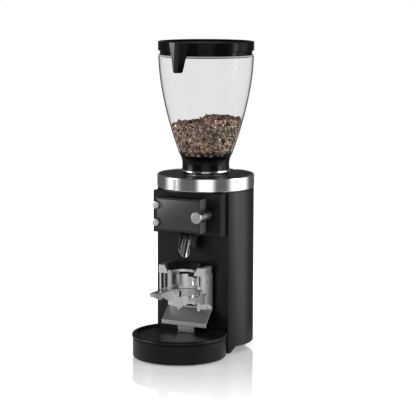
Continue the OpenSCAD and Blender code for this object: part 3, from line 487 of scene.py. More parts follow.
def panel_finish(name, base):
    """Satin black frame whose right side, past the front's edge, is painted a paler grey for
    the light that falls on it from the right.
    """
    f = Finish(name, base, 0.4, Specular_IOR_Level=0.5)
    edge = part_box("display_frame")[1].x
    # painted light: past the front's edge the right side turns a paler grey, as if lit from the
    # right
    painted_lit_flank = f.ranged(f.parts(f.where)[0], 0.0, 1.0, edge - 0.0007, edge - 0.0002)
    return (f.colours(painted_lit_flank, [(0.0, base), (1.0, (0.085, 0.085, 0.086))])
        .roughness(f.noise(260, 3), 0.36, 0.44).bump(f.noise(900, 2), 0.00001)).material


def bean_finish(name, base):
    """Roasted beans: each has its own tone, with a mottled skin and an oily sheen."""
    f = Finish(name, base, 0.36, Specular_IOR_Level=1.0, IOR=1.9,
        Specular_Tint=(1.0, 0.86, 0.74, 1.0))
    tone = f.add("ShaderNodeAttribute", attribute_name="tone").outputs["Fac"]
    mottle = f.noise(900, 3)
    dark, pale = times(base, 0.15), tuple(min(1, c * 3 + 0.03) for c in base)
    return (f.colours(f.maths("MULTIPLY_ADD", mottle, 0.45, tone),
        [(0.3, dark), (0.56, base), (0.84, pale)])
        .roughness(mottle, 0.26, 0.4).bump(mottle, 0.0001, 0.5)).material


def board_finish(name):
    """Circuit board: solder mask with copper tracks and pads."""
    copper, edge, mask = (0.35, 0.3, 0.2), (0.02, 0.16, 0.06), (0.008, 0.075, 0.03)
    f = Finish(name, mask, 0.35)
    tracks = f.add("ShaderNodeTexVoronoi",
        {"Vector": f.where, "Scale": 260}).outputs["Distance"]
    return (f.colours(tracks, [(0.0, copper), (0.12, edge), (0.4, mask)])
        .roughness(tracks, 0.25, 0.5).bump(tracks, 0.00003)).material


FINISHES = {}


def finishes():
    """The slot and the material of each finish, made once from the colours in the panel.
    Finishes that only CAD meshes carry have no slot."""
    if FINISHES:
        return FINISHES
    panel = bpy.context.scene.grinder_colours
    coat, plastic, screen, chrome, steel, aluminium, disc, clear, bean = (
        tuple(getattr(panel, name)) for name in ("coat", "plastic", "screen", "chrome",
            "steel", "aluminium", "disc", "clear", "bean"))
    across, fine = (400, 2400, 400), (1000, 1000, 1000)
    FINISHES.update({
        "coat": ("satin_black", coat_finish("Satin coat", coat, 0.33, 0.33)),
        "base": ("base_black", coat_finish("Base coat", coat, 0.34, 0.22)),
        "tray": ("base_black", coat_finish("Tray coat", coat, 0.36, 0.24)),
        "panel": ("gloss_black", panel_finish("Panel coat", coat)),
        "gloss": ("gloss_black", gloss_finish("Gloss plastic", plastic, 0.1, 0.07)),
        "tongue": ("gloss_black", tongue_finish("Tongue plastic", plastic)),
        "neck": ("gloss_black", gloss_finish("Neck plastic", plastic, 0.16, 0.14)),
        "screen": ("screen", screen_finish("Screen glass", screen)),
        "chrome": ("chrome", turned_metal("Chrome ring", chrome, 0.15, 2400, 4e-7)),
        "collar": ("chrome", turned_metal("Polished collar", chrome, 0.08, 1500, 1e-7)),
        "disc": ("dark_disc", turned_metal("Dark disc", disc, 0.34, 500, 1e-6)),
        "sheet": ("steel", faced_metal("Satin sheet", times(steel, 1.5), 0.34,
            (1200, 1200, 1200), 3e-7, 0.02)),
        "fork": ("steel", faced_metal("Fork steel", steel, 0.26, fine, 2e-7, 0.03)),
        "bright": ("steel", faced_metal("Bright steel", chrome, 0.2, (400, 400, 60), 2e-7,
            0.02)),
        "block": ("steel", faced_metal("Block steel", times(steel, 1.35), 0.34, fine, 2e-7,
            0.03)),
        # painted shade: the spout's steel is darkened to 0.55 for the shade under the housing
        "spout": ("steel", faced_metal("Spout steel with painted shade", times(steel, 0.55), 0.2,
            (700, 700, 30), 1e-6, 0.2)),
        "knob": ("aluminium", faced_metal("Knob aluminium", times(aluminium, 0.72), 0.4,
            across)),
        "grip": ("aluminium", faced_metal("Grip aluminium", chrome, 0.18, across)),
        "sleeve": ("aluminium", faced_metal("Dark sleeve", times(steel, 0.5), 0.27, across)),
        "button": ("aluminium", faced_metal("Button aluminium", aluminium, 0.38,
            (700, 2000, 700))),
        "clear": ("clear", clear_finish("Clear plastic", clear)),
        "bean": ("beans", bean_finish("Roasted beans", bean)),
        "rubber": ("rubber", plain_plastic("Rubber", (0.008, 0.008, 0.008), 0.7)),
        "seal": (None, plain_plastic("Seal", (0.3, 0.3, 0.3), 0.5)),
        "moulded": ("black_plastic", plain_plastic("Moulded plastic",
            (0.012, 0.012, 0.012), 0.45)),
        "funnel": ("black_plastic", gloss_finish("Funnel plastic", (0.007, 0.007, 0.007),
            0.28, 0.28)),
        "red": ("red_plastic", plain_plastic("Red plastic", (0.12, 0.008, 0.008), 0.35)),
        "white": (None, plain_plastic("White plastic", (0.7, 0.7, 0.68), 0.45)),
        "board": (None, board_finish("Circuit board")),
        "aluminium": (None, cast_metal("Cast aluminium", (0.6, 0.6, 0.61), 0.4)),
        "iron": (None, cast_metal("Iron", (0.22, 0.22, 0.23), 0.5)),
        "works": ("steel", cast_metal("Ground steel", (0.5, 0.5, 0.51), 0.3)),
    })
    return FINISHES


# ---- Operators ----


class GrinderOperator:
    """What the operators share. build makes surfaces. copies lists the CAD nodes that keep
    their shape: name, node, body, finish, and the radius of the edges in mm, which is the
    panel's where it is None."""

    bl_options = {"REGISTER", "UNDO"}
    copies = ()

    def build(self, sizes):
        """Makes the surfaces that aren't copies."""

    def execute(self, context):
        sizes = context.scene.grinder_sizes
        self.build(sizes)
        for name, node, body, look, edge in self.copies:
            softened(name, node, body, look, sizes.edge if edge is None else edge * MM)
        return {"FINISHED"}


def lid_handle(rim, r, top):
    """The tongue: a narrow face between two wide bevels, whose back follows the lid's
    skirt. Each level gives a height, and half the width at the back and at the face."""
    turn, back_points, lean = math.radians(6.5), 9, 0.06
    sections = []
    for z, back, face in ((top - 0.6, 24, 8.2), (rim - 2, 17.2, 7.6), (rim - 27, 11, 6),
            (rim - 30, 8.2, 4)):
        x = np.linspace(back, -back, back_points)
        ahead = r + 7.4 + lean * (rim - z)
        loop = np.concatenate([np.column_stack([x, np.sqrt(r**2 - x**2) + 0.1]),
            np.array([[-face, ahead], [face, ahead]])])
        loop = rounded(loop, [0] * back_points + [0.8, 0.8], 4) * MM
        sections.append(np.column_stack([
            loop[:, 0] * math.cos(turn) - loop[:, 1] * math.sin(turn),
            AXIS[1] - loop[:, 0] * math.sin(turn) - loop[:, 1] * math.cos(turn),
            np.full(len(loop), z * MM)]))
    return skin("lid_handle", np.stack(sections, 1), (True, False), True, 20)


class MakeLid(GrinderOperator, bpy.types.Operator):
    """Makes the dished lid, its tongue and its seal"""

    bl_idname = "grinder.make_lid"
    bl_label = "Lid"

    def build(self, sizes):
        """The lid's profile runs from the middle of its top, over the rim and the recess
        under it, to the middle of its underside."""
        rim, r, top = BELL_HIGH.z / MM, LID_HIGH.x / MM, LID_HIGH.z / MM
        corners = np.array([
            [0, top - 3.5], [r - 7.4, top - 3.5], [r - 5.9, top], [r - 1.2, top],
            [r, top - 1.2], [r, rim + 11.5], [r - 1, rim + 10.5], [r - 3.6, rim + 10.5],
            [r - 3.6, rim + 2.2], [r - 4.6, rim + 2.2], [r - 4.6, rim - 1.8],
            [r - 9.9, rim - 1.8], [r - 9.9, rim + 19], [r - 11.9, rim + 21], [0, rim + 21]])
        radius = np.array([0.4, 2, 1.2, 1.2, 1.2, 0.6] + [0.4] * 9)
        grid = turned(rounded(corners, radius, closed=False) * MM, sizes.segments)
        place(skin("lid_cap", grid, (False, True)), "lid_group", "gloss", "lid")
        place(lid_handle(rim, r, top), "lid_group", "tongue", "lid_tongue")
        repaint("lid_seal", "seal")


def bell_radius(sizes, z):
    """Outer radius of the bell at heights z: the rim's radius less a power of the depth."""
    depth = np.clip((BELL_HIGH.z - z) / (BELL_HIGH.z - sizes.bell_start), 0, 1)
    return sizes.bell_rim - (sizes.bell_rim - sizes.bell_waist) * depth**sizes.bell_power


class MakeHopper(GrinderOperator, bpy.types.Operator):
    """Makes the clear bell, the ring at its foot, the neck and the gate"""

    bl_idname = "grinder.make_hopper"
    bl_label = "Hopper"
    copies = (
        ("neck_moulding", "hopper_neck", "hopper", "neck", 0.5),
        ("gate_plate", "gate_slide", "gate", "moulded", 0.4))

    def build(self, sizes):
        """The bell's wall is its outer curve and the same curve one wall further in, with a
        rounded rim and a foot that stands in the neck."""
        seat, foot, step = 391.5, sizes.bell_foot / MM, sizes.bell_start / MM - 4.2
        z = np.linspace(sizes.bell_start, BELL_HIGH.z, 90)
        outer = np.column_stack([bell_radius(sizes, z), z])
        inner = outer[::-1] - [sizes.bell_wall, 0]
        inner = inner[inner[:, 1] > sizes.bell_start + MM]
        low = np.array([
            [51.9, step], [foot - 5.4, seat + 0.2], [foot - 5.4, seat - 4.9],
            [foot - 3.4, seat - 4.9], [foot - 3.4, seat + 0.1], [foot, seat + 0.1],
            [foot + 2.8, step]]) * MM
        profile = np.concatenate([outer, inner, low])
        radius = np.full(len(profile), 0.0)
        radius[len(outer) - 1:len(outer) + 1] = 0.7 * MM
        radius[-len(low):] = 0.4 * MM
        radius[[0, -1]] = 2 * MM
        grid = turned(rounded(profile, radius, 3), sizes.segments)
        place(skin("bell_wall", grid, sharp=60), "hopper", "clear", "hopper_bell")
        repaint("bell_ring", "moulded")


def bean_shape(sizes, around=9, rings=6):
    """An ellipsoid whose under side is flatter and carries a furrow along its length:
    x is the length, y the width and z the thickness."""
    u = np.linspace(0, math.pi, rings)[:, None]
    v = np.linspace(0, 2 * math.pi, around, endpoint=False)[None]
    x = sizes.bean_length * np.cos(u) + 0 * v
    y = sizes.bean_width * np.sin(u) * np.cos(v)
    z = sizes.bean_height * np.sin(u) * np.sin(v)
    furrow = np.exp(-(y / (0.3 * sizes.bean_width)) ** 2) * np.sin(u)
    return np.stack([x, y, np.where(z < 0, 0.5 * z + 0.5 * sizes.bean_height * furrow, z)], -1)


def turns(axis_z, spin):
    """Rotation matrices whose third axis is axis_z, turned by spin about it."""
    up = np.where(np.abs(axis_z[:, 2:]) < 0.9, [[0, 0, 1.0]], [[1.0, 0, 0]])
    x = np.cross(up, axis_z)
    x /= np.linalg.norm(x, axis=1, keepdims=True)
    y = np.cross(axis_z, x)
    c, s = np.cos(spin)[:, None], np.sin(spin)[:, None]
    return np.stack([c * x + s * y, -s * x + c * y, axis_z], -1)


def bean_top(sizes, x, y):
    """Height of the heap: it rises to a step near the middle and stays high to the right of
    it, with two slow waves and a low crown."""
    turn, reach, crown = 0.49, 0.06, 3 * MM
    wave, wave_x, wave_y = 1.2 * MM, 0.011, 0.013
    y = y - AXIS[1]
    right = (x * math.cos(turn) + y * math.sin(turn)) / reach
    step = np.interp(right, [-1, -0.12, 0.08, 0.35, 1], [-1.6, -0.75, 0.45, 0.5, 0.15])
    return (sizes.bean_level + sizes.bean_tilt * step
        + wave * np.sin(x / wave_x) * np.cos(y / wave_y)
        + crown * (1 - np.clip(np.hypot(x, y) / reach, 0, 1)))


def bean_places(sizes, rng, level, inside):
    """Centres and directions of the beans, on two golden-angle spirals: one up the bell's
    inner wall and one over the heap's top. A bean's depth behind the wall is a random
    number to a power, in mm."""
    gap, scatter, crowding = 0.4, 3.4, 1.6
    droop, tumble, face_down, unevenness = -0.15, 0.42, 0.45, 1.3 * MM
    area = np.cumsum(inside)
    i = np.arange(sizes.side_beans) + 0.5
    z = np.interp(i / sizes.side_beans, area / area[-1], level)
    angle = i * GOLDEN_ANGLE + rng.normal(0, 0.03, len(i))
    depth = sizes.bean_height + (gap + scatter * rng.random(len(i)) ** crowding) * MM
    r = np.interp(z, level, inside) - depth
    side = np.column_stack([r * np.cos(angle), AXIS[1] + r * np.sin(angle), z])
    out = np.column_stack([np.cos(angle), np.sin(angle), droop + 0 * angle])
    keep = side[:, 2] < bean_top(sizes, side[:, 0], side[:, 1]) - 0.5 * MM
    side, out = side[keep], out[keep]
    j = np.arange(sizes.top_beans) + 0.5
    limit = bell_radius(sizes, np.array(sizes.bean_level)) - sizes.bell_wall - 4 * MM
    r = limit * np.sqrt(j / sizes.top_beans)
    angle = j * GOLDEN_ANGLE + 0.4
    x, y = r * np.cos(angle), AXIS[1] + r * np.sin(angle)
    top = np.column_stack([x, y, bean_top(sizes, x, y) - 1.2 * MM
        + rng.normal(0, unevenness, len(j))])
    up = np.tile([[0, 0, 1.0]], (len(j), 1))
    centres = np.concatenate([side, top])
    faces_out = np.concatenate([out, up]) + rng.normal(0, tumble, (len(centres), 3))
    faces_out[rng.random(len(centres)) < face_down] *= -1
    return centres, faces_out / np.linalg.norm(faces_out, axis=1, keepdims=True)


def keep_inside(points, level, inside):
    """Moves points that would stick through the wall to just inside it."""
    wall = np.interp(points[..., 2], level, inside) - 0.35 * MM
    reach = np.hypot(points[..., 0], points[..., 1] - AXIS[1])
    shrink = np.minimum(1, wall / np.maximum(reach, 1e-6))
    points[..., 0] *= shrink
    points[..., 1] = AXIS[1] + (points[..., 1] - AXIS[1]) * shrink


def bean_core(sizes):
    """The heap under its outer beans: a turned body whose top follows the heap."""
    start, depth = 14 * MM, 12 * MM
    throat = np.array([[0, 376], [19, 376], [20, 380], [42, 389], [46, 396]]) * MM
    z = np.linspace(sizes.bell_start, sizes.bean_level - 2 * MM, 12)
    wall = np.column_stack([bell_radius(sizes, z) - sizes.bell_wall - 5.5 * MM, z])
    grid = turned(np.concatenate([throat, wall, [[0, sizes.bean_level - MM]]]), 64)
    above = grid[..., 2] - sizes.bean_level + start
    lift = bean_top(sizes, grid[..., 0], grid[..., 1]) - sizes.bean_level - 2.5 * MM
    grid[..., 2] += lift * np.clip(above / depth, 0, 1)
    return skin("bean_core", grid, (False, True))


class MakeBeans(GrinderOperator, bpy.types.Operator):
    """Makes the coffee beans in the hopper"""

    bl_idname = "grinder.make_beans"
    bl_label = "Coffee beans"

    def build(self, sizes):
        """Beans fill the bell's inner wall and the heap's top, and a plain core the rest.
        Below the bell's start the wall is a cone."""
        mouth, slope = 52.2 * MM, 0.5
        rng = np.random.default_rng(11)
        level = np.linspace(sizes.bell_start - 8.5 * MM, sizes.bean_level + 11 * MM, 400)
        inside = np.where(level < sizes.bell_start,
            mouth + (level - sizes.bell_start) * slope,
            bell_radius(sizes, level) - sizes.bell_wall)
        centres, faces_out = bean_places(sizes, rng, level, inside)
        matrices = turns(faces_out, rng.random(len(centres)) * 2 * math.pi)
        size = rng.uniform(0.86, 1.1, len(centres))
        points = np.einsum("nij,abj->nabi", matrices, bean_shape(sizes))
        points *= size[:, None, None, None]
        points += centres[:, None, None]
        keep_inside(points, level, inside)
        n, rings, around = points.shape[:3]
        quads = (quads_between(rings, around, (False, True))[None]
            + (np.arange(n) * rings * around)[:, None, None]).reshape(-1, 4)
        mesh = bpy.data.meshes.new("bean_heap")
        mesh.from_pydata(points.reshape(-1, 3), [], quads.tolist())
        tone = mesh.attributes.new("tone", "FLOAT", "POINT")
        tone.data.foreach_set("value", np.repeat(rng.random(n) * 0.62,
            rings * around).astype(np.float32))
        for part in (tidy(mesh, 80), bean_core(sizes)):
            place(part, "hopper", "bean", "coffee_beans", weighted=False)


class MakeRing(GrinderOperator, bpy.types.Operator):
    """Makes the adjusting ring, its lug, its top disc and the hopper's collar"""

    bl_idname = "grinder.make_ring"
    bl_label = "Adjusting ring"
    copies = (("ring_finger", "ring_lug", "ring", "chrome", 1.1),)

    def build(self, sizes):
        """The ring's profile is an outer band with a groove behind its upper edge, joined by
        a thin web to the hub on the chamber's neck."""
        r, high, seat = RING_HIGH.x / MM, RING_HIGH.z / MM, COVER_LOW.z / MM
        low, web_low, web_high, neck_low = 326.7, 338, 342, 328
        hub, neck, groove, band, lip = 38.1, 44.05, 49, 91, 93.6
        corners = np.array([
            [hub, web_low], [neck, web_low], [neck, neck_low], [groove, neck_low],
            [groove, web_low], [band, web_low], [band, low], [r - 1.2, low],
            [r, low + 1.2], [r, high - 1.2], [r - 1.2, high], [lip, high], [lip, seat],
            [band, seat], [band, web_high], [hub, web_high]]) * MM
        radius = np.array([0.3] * 8 + [0.8, 0.8] + [0.3] * 6) * MM
        disc = np.array([[46.5 * MM, COVER_LOW.z], [COVER_HIGH.x, COVER_LOW.z],
            [COVER_HIGH.x, COVER_HIGH.z], [46.5 * MM, COVER_HIGH.z]])
        collar = np.array([[36, 354.2], [44, 354.2], [44.6, 356], [49.2, 358.4],
            [49.5, 359.6], [48.3, 363], [36, 363]]) * MM
        collar[:, 0] *= COLLAR_HIGH.x / collar[:, 0].max()
        collar_radius = np.array([0.2, 0.2, 1, 1, 0.8, 0.8, 0.2]) * MM
        for name, profile, body, look, node in (
                ("ring_band", rounded(corners, radius, 4), "ring", "chrome", "adjust_ring"),
                ("ring_disc", rounded(disc, 0.5 * MM), "ring", "disc", "ring_cover"),
                ("collar_ring", rounded(collar, collar_radius), "carrier", "collar",
                    "hopper_collar")):
            place(skin(name, turned(profile, sizes.segments)), body, look, node)


class MakeCasing(GrinderOperator, bpy.types.Operator):
    """Makes the round casing, its top plate, and the panel, socket and switch at its back"""

    bl_idname = "grinder.make_casing"
    bl_label = "Casing"
    copies = (
        ("casing_shell", "body_shell", "housing", "coat", None),
        ("casing_top", "top_plate", "housing", "coat", None),
        ("back_panel", "rear_panel", "housing", "moulded", None),
        ("mains_inlet", "power_inlet", "housing", "moulded", 0.4),
        ("rocker_frame", "switch_frame", "housing", "moulded", 0.4),
        ("rocker_key", "switch_rocker", "rocker", "red", 0.5))


def turned_part(name, corners, radius, steps, segments, low, high, body, look, node):
    """Places a part turned about the middle of a box, front to back."""
    axis = ((low.x + high.x) / 2 * MM, (low.z + high.z) / 2 * MM)
    grid = turned(rounded(corners, radius, steps, False) * MM, segments, axis)
    place(skin(name, grid[..., [0, 2, 1]], (False, True)), body, look, node)


class MakeControls(GrinderOperator, bpy.types.Operator):
    """Makes the control housing, the display, the knob and the two buttons"""

    bl_idname = "grinder.make_controls"
    bl_label = "Controls"
    copies = (
        ("housing_cover", "control_housing", "housing", "coat", 0.8),
        ("display_bezel", "display_frame", "housing", "panel", 0.5),
        ("display_screen", "display_glass", "housing", "screen", 0.3))

    def build(self, sizes):
        """Knob and buttons are profiles, of radius and y in mm, turned about axes that run
        front to back: the knob has a groove, and the buttons are crowned."""
        low, high = KNOB_LOW / MM, KNOB_HIGH / MM
        face, back, r = low.y, high.y, (high.x - low.x) / 2
        seam, neck, groove, bore, deep = face + 21, r - 0.7, 1.2, 3.05, 18
        for name, look, corners, radius in (
                ("knob_face", "knob", [[0, face], [r - 0.9, face], [r - 0.35, face + 0.25]],
                    [0, 0.2, 0]),
                ("knob_grip", "grip", [[r - 0.35, face + 0.25], [r, face + 0.9], [r, seam],
                    [neck, seam], [neck, seam + groove]], [0, 0.5, 0.25, 0.1, 0]),
                ("knob_sleeve", "sleeve", [[neck, seam + groove], [r, seam + groove],
                    [r, back - 3], [r - 1.2, back - 3], [r - 1.2, back], [bore, back],
                    [bore, back - deep], [0, back - deep]],
                    [0, 0.25, 0.5, 0.1, 0.3, 0.2, 0.1, 0])):
            turned_part(name, corners, radius, 5, 96, low, high, "knob_body", look, "knob")
        for node, body in (("button_upper", "upper_button"), ("button_lower", "lower_button")):
            low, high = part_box(node)
            low, high = low / MM, high / MM
            face, back, r, stem, cap = low.y, high.y, (high.x - low.x) / 2, 3, 11
            corners = [[0, face], [r * 0.55, face + 0.05], [r, face + 0.35], [r, face + cap],
                [stem, face + cap], [stem, back], [0, back]]
            turned_part(f"{node}_cap", corners, [0, 1, 1.3, 0.3, 0.1, 0.2, 0], 6, 72, low, high,
                body, "button", node)


class MakeSpout(GrinderOperator, bpy.types.Operator):
    """Makes the spout and the guard behind it"""

    bl_idname = "grinder.make_spout"
    bl_label = "Spout"
    copies = (
        ("spout_shield", "spout_guard", "housing", "moulded", 0.4),
        ("spout_block", "chute_block", "housing", "moulded", 0.4))

    def build(self, sizes):
        """Each line along the tube starts where it meets the plane of the slanting mouth, and
        in the front half, which is open, up inside the housing."""
        r, wall, edge = (SPOUT_HIGH.x - SPOUT_LOW.x) / 2, 1.5 * MM, 0.25 * MM
        tilt, cut = math.radians(23.6), math.radians(18.7)
        foot = np.array([0, AXIS[1] - 0.0948, 0.205])
        tip = np.array([0, AXIS[1] - 0.085, 0.192])
        lowest, open_from, top = -22 * MM, 45 * MM, 64.5 * MM
        t = np.linspace(0, 2 * math.pi, 144, endpoint=False)
        along = np.array([0, math.sin(tilt), math.cos(tilt)])
        ahead = np.array([0, math.cos(tilt), -math.sin(tilt)])
        normal = np.array([0, math.cos(cut), math.sin(cut)])
        radii = np.array([r, r, r, r - edge, r - wall / 2, r - wall + edge,
            r - wall, r - wall, r - wall])
        share = np.array([1, 0.5, 0, 0, 0, 0, 0, 0.5, 1])
        inset = np.array([0, 0, 0.3, 0.05, 0, 0.05, 0.3, 0, 0]) * MM
        across = (np.cos(t)[None, :, None] * np.array([1, 0, 0])
            + np.sin(t)[None, :, None] * ahead) * radii[:, None, None]
        start = np.maximum(-((foot + across - tip) @ normal) / (along @ normal), lowest)
        start = np.where(np.sin(t)[None] < -1e-6, open_from, start)
        s = start + inset[:, None] + share[:, None] * (top - start)
        place(skin("spout_scoop", foot + across + s[..., None] * along, sharp=50), "housing",
            "spout", "spout_tube")


def holder_liners():
    """On the inner face of each cheek a dark liner and a dark plug in its slot, and in
    front of them the round bar that guides the fork."""
    low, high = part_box("scale_bracket")
    foot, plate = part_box("portafilter_fork")[1].z + 2.2 * MM, high.y - 3 * MM
    slot_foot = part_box("holder_top")[0].z
    liner_y = plate - np.array([8.5, 8.5, 33, 33]) * MM
    slot_y = plate - np.array([19.6, 23.6, 23.6, 19.6]) * MM
    slot_z = slot_foot + np.array([3, 3, 12, 12]) * MM
    bar_y, bar_r = plate - 26.5 * MM, 2.2 * MM
    t = np.linspace(0, 2 * math.pi, 24, endpoint=False)
    liners, inserts, bars = [], [], []
    for side in (-1, 1):
        x = side * (high.x - 3.5 * MM)
        liner_x = x + side * np.array([0.1, -0.3, -0.3, 0.1]) * MM
        liners.append(extruded(np.column_stack([liner_x, liner_y]),
            (foot, high.z - 0.3 * MM)))
        bars.append(extruded(np.column_stack([x - side * 2.4 * MM + bar_r * np.cos(t),
            bar_y + bar_r * np.sin(t)]), (foot - MM, high.z)))
        inserts.append(extruded(np.column_stack([slot_y, slot_z]),
            (side * (high.x - 4.9 * MM), side * (high.x - 2 * MM)))[..., [2, 0, 1]])
    for name, grids, look in (("cheek_liners", liners, "moulded"),
            ("slot_inserts", inserts, "moulded"), ("guide_bars", bars, "works")):
        place(joined(name, [skin(name, grid, (True, False), True) for grid in grids]),
            "housing", look)


class MakeHolder(GrinderOperator, bpy.types.Operator):
    """Makes the bracket on the scale, the cradle, the holder's top, guide, pad and fork"""

    bl_idname = "grinder.make_holder"
    bl_label = "Portafilter holder"
    copies = (
        ("bracket_sheet", "scale_bracket", "housing", "sheet", 0),
        ("cradle_wall", "cradle", "housing", "bright", 0),
        ("holder_blocks", "holder_top", "housing", "block", 0),
        ("pad_block", "rest_pad", "housing", "rubber", 0.6),
        ("post_bar", "scale_post", "housing", "block", None),
        ("fork_plate", "portafilter_fork", "fork", "fork", 0))

    def build(self, sizes):
        """The guide is a cone's wall turned through half a circle."""
        low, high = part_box("funnel_guide")
        corners = np.array([[26.5 * MM, low.z], [28.5 * MM, low.z], [high.x, high.z],
            [high.x - 2 * MM, high.z]])
        grid = turned(rounded(corners, 0.6 * MM, 4), 96, np.array([0, AXIS[1] - 0.0965]),
            -0.01, math.pi + 0.02, True)
        place(skin("funnel_wall", grid, (True, False), True), "housing", "funnel",
            "funnel_guide")
        holder_liners()


class MakeBase(GrinderOperator, bpy.types.Operator):
    """Makes the tray, the base and the feet"""

    bl_idname = "grinder.make_base"
    bl_label = "Base and tray"
    copies = (
        ("tray_dish", "drip_tray", "tray", "tray", 0.8),
        ("base_drum", "base_casting", "housing", "base", None),
        ("foot_pads", "rubber_feet", "housing", "rubber", 0.5))


class FinishWorks(GrinderOperator, bpy.types.Operator):
    """Gives the parts inside the casing their finishes"""

    bl_idname = "grinder.finish_works"
    bl_label = "Inner parts"

    def build(self, sizes):
        """Each inner node keeps its CAD mesh."""
        for look, nodes in (
                ("moulded", "bottom_cover body_floor cooling_fan"),
                ("works", "base_screws rotor_shaft bearings lower_burr upper_burr"
                    " lower_burr_screws upper_burr_screws encoder_sleeve encoder_body"
                    " motor_posts"),
                ("aluminium", "load_cell grind_chamber motor_bells lower_burr_carrier"
                    " upper_burr_carrier"),
                ("iron", "motor_stator rotor_core"),
                ("board", "control_board display_boards"),
                ("white", "run_capacitor")):
            for node in nodes.split():
                repaint(node, look)


# Softboxes of the studio: centre and half width in degrees to the right of the front,
# softness of the sides, lowest and highest sine of the elevation, strength
SOFTBOXES = (
    (-59, 5, 24, -0.35, 0.4, 1.1),
    (28, 13, 12, -0.35, 0.45, 1.3),
    (116, 6, 34, -0.35, 0.45, 2.1))


def make_floor():
    """A disc on the ground plane: pale, a little glossy near the object. Glossy surfaces
    reflect it as far as the edge of a table."""
    radius, depth, own_glow, table_glow, gloss = 2.6, 0.0002, 0.62, 0.54, 0.58
    gloss_near, gloss_far, table_edge, table_end, behind = 0.2, 0.8, 1.3, 1.9, 0.3
    r = np.linspace(0, radius, 14)[:, None]
    t = np.linspace(0, 2 * math.pi, 96, endpoint=False)[None]
    grid = np.stack([r * np.cos(t), r * np.sin(t), -depth + 0 * r * t], -1)
    mesh = skin("floor", grid, (False, True))
    if mesh.polygons[0].normal.z < 0:
        mesh.flip_normals()
    floor = linked("floor", mesh)
    pale = tuple(bpy.context.scene.grinder_colours.floor)
    f = Finish("Studio floor", pale, 0.9, Specular_IOR_Level=0.0)
    f.shade(f.noise(3, 2), pale, 0.01)
    path = f.add("ShaderNodeLightPath").outputs
    distance = f.add("ShaderNodeVectorMath", {0: f.where}, operation="LENGTH")
    away = distance.outputs["Value"]
    seen = f.maths("MAXIMUM", path["Is Camera Ray"], path["Is Transmission Ray"])
    lit = f.add("ShaderNodeAddShader", {0: f.shader.outputs[0],
        1: f.glow(f.product(seen, own_glow))})
    mirror = f.add("ShaderNodeBsdfGlossy", {"Roughness": 0.0})
    shown = f.mixed(f.ranged(away, gloss, 0.0, gloss_near, gloss_far), lit.outputs[0],
        mirror.outputs[0])
    table = f.product(f.ranged(away, 0.0, 1.0, table_end, table_edge),
        f.ranged(f.parts(f.where)[1], 0.0, 1.0, behind, 0.0))
    reflected = f.mixed(table, f.add("ShaderNodeBsdfTransparent").outputs[0],
        f.glow(table_glow))
    f.join(f.mixed(path["Is Glossy Ray"], shown, reflected), f.surface)
    mesh.materials.append(f.material)


def make_world():
    """White to the camera and through glass. For reflections it is a studio: softboxes in
    a dim room, whose ceiling is dimmer and whose ground is brighter than its walls."""
    walls, ceiling, ground, diffuse, fade = 0.11, 0.07, 0.15, 0.85, 0.15
    world = bpy.data.worlds.new("Studio")
    bpy.context.scene.world = world
    world.use_nodes = True
    studio = Nodes(world.node_tree)
    maths, product = studio.maths, studio.product

    def smooth(value, start, end):
        """Eases from 0 at the start to 1 at the end."""
        return studio.ranged(value, 0.0, 1.0, start, end, "SMOOTHSTEP")

    def inverse(value):
        return maths("SUBTRACT", 1.0, value)

    x, y, z = studio.parts(studio.add("ShaderNodeTexCoord").outputs["Generated"])
    degrees = product(maths("ARCTAN2", x, product(y, -1.0)), 180 / math.pi)
    total = maths("SUBTRACT", walls, product(smooth(z, 0.2, 0.6), ceiling))
    total = maths("ADD", total, product(smooth(z, -0.2, -0.6), ground))
    for centre, half, soft, low, high, strength in SOFTBOXES:
        off = maths("ABSOLUTE", maths("SUBTRACT", degrees, centre))
        off = maths("MINIMUM", off, maths("SUBTRACT", 360.0, off))
        box = product(smooth(off, half + soft, half), smooth(z, low - fade, low + fade),
            smooth(z, high + fade, high - fade), strength)
        total = maths("ADD", total, box)
    path = studio.add("ShaderNodeLightPath").outputs
    direct = inverse(maths("MINIMUM",
        maths("ADD", path["Glossy Depth"], path["Diffuse Depth"]), 1.0))
    white = maths("MAXIMUM", path["Is Camera Ray"],
        product(path["Is Transmission Ray"], direct))
    white = maths("MAXIMUM", white, path["Is Singular Ray"])
    glossy = maths("MAXIMUM", path["Is Glossy Ray"],
        maths("MINIMUM", path["Glossy Depth"], 1.0))
    glossy = product(glossy, inverse(maths("MAXIMUM", white, path["Is Diffuse Ray"])))
    level = maths("ADD", white, product(inverse(maths("MAXIMUM", white, glossy)), diffuse))
    level = maths("ADD", level, product(glossy, total))
    back = studio.add("ShaderNodeBackground", {"Color": (1, 1, 1, 1), "Strength": level})
    studio.add("ShaderNodeOutputWorld", {0: back.outputs[0]})


def make_lamps():
    """Four soft area lamps: one at the left in front, a card beside it, one at the right
    and one above."""
    aim = Vector((0, 0, 0.3))
    for name, at, size, power in (
        ("key", (-1.42, -1.2, 0.72), (0.5, 0.65), 9.0),
        ("card", (-1.35, -0.95, 0.5), (0.6, 0.7), 5.0),
        ("strip", (1.6, 0.35, 0.75), (0.35, 1.4), 9.0),
        ("top", (0.1, -0.1, 1.9), (1.2, 1.2), 10.0),
    ):
        lamp = given(bpy.data.lights.new(name, "AREA"), shape="RECTANGLE", size=size[0],
            size_y=size[1], energy=power)
        linked(name, lamp, location=at, visible_camera=False, visible_glossy=name != "top",
            rotation_euler=(aim - Vector(at)).to_track_quat("-Z", "Y").to_euler())


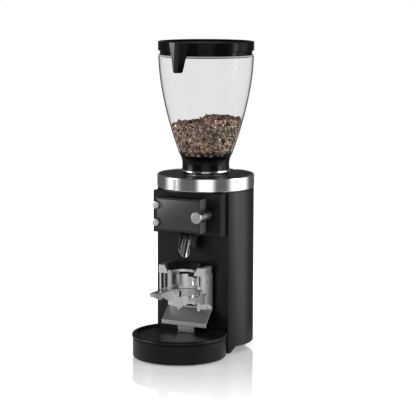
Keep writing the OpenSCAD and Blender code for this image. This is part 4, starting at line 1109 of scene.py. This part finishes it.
def make_camera():
    """The camera stands 28 degrees to the right of the front and looks down a little."""
    turn, dip, roll = math.radians(28), math.radians(8.3231), math.radians(0.1771)
    at = Matrix.Translation((1.5323, -2.8193, 0.7589))
    ahead = Vector((-math.sin(turn) * math.cos(dip), math.cos(turn) * math.cos(dip),
        -math.sin(dip)))
    right = ahead.cross(Vector((0, 0, 1))).normalized()
    basis = Matrix((right, right.cross(ahead), -ahead)).transposed().to_4x4()
    lens = given(bpy.data.cameras.new("camera"), lens=140.92, sensor_width=36, clip_end=50)
    bpy.context.scene.camera = linked("camera", lens,
        matrix_world=at @ basis @ Matrix.Rotation(roll, 4, "Z"))


class MakeStage(GrinderOperator, bpy.types.Operator):
    """Makes the floor, the backdrop, the lamps and the camera"""

    bl_idname = "grinder.make_stage"
    bl_label = "Studio"

    def build(self, sizes):
        """The view transform keeps the colours as they are."""
        for make in (make_floor, make_world, make_lamps, make_camera):
            make()
        bpy.context.scene.view_settings.view_transform = "Standard"


class GrinderPanel(bpy.types.Panel):
    """Sizes, colours and pieces of the grinder"""

    bl_idname = "VIEW3D_PT_grinder"
    bl_label = "Grinder"
    bl_space_type = "VIEW_3D"
    bl_region_type = "UI"
    bl_category = "Grinder"

    def draw(self, context):
        for group in (context.scene.grinder_sizes, context.scene.grinder_colours):
            box = self.layout.box()
            for name in group.__annotations__:
                box.prop(group, name)
        for operator in OPERATORS:
            self.layout.operator(operator.bl_idname)


OPERATORS = (MakeLid, MakeHopper, MakeBeans, MakeRing, MakeCasing, MakeControls, MakeSpout,
    MakeHolder, MakeBase, FinishWorks, MakeStage)
CLASSES = (GrinderSizes, GrinderColours, *OPERATORS, GrinderPanel)


def register():
    for cls in CLASSES:
        bpy.utils.register_class(cls)
    bpy.types.Scene.grinder_sizes = bpy.props.PointerProperty(type=GrinderSizes)
    bpy.types.Scene.grinder_colours = bpy.props.PointerProperty(type=GrinderColours)


def unregister():
    del bpy.types.Scene.grinder_sizes, bpy.types.Scene.grinder_colours
    for cls in reversed(CLASSES):
        bpy.utils.unregister_class(cls)


def main():
    """Runs the operators in order."""
    register()
    for operator in OPERATORS:
        group, name = operator.bl_idname.split(".")
        if getattr(getattr(bpy.ops, group), name)() != {"FINISHED"}:
            raise RuntimeError(f"{operator.bl_label} didn't finish")


if __name__ == "__main__":
    main()
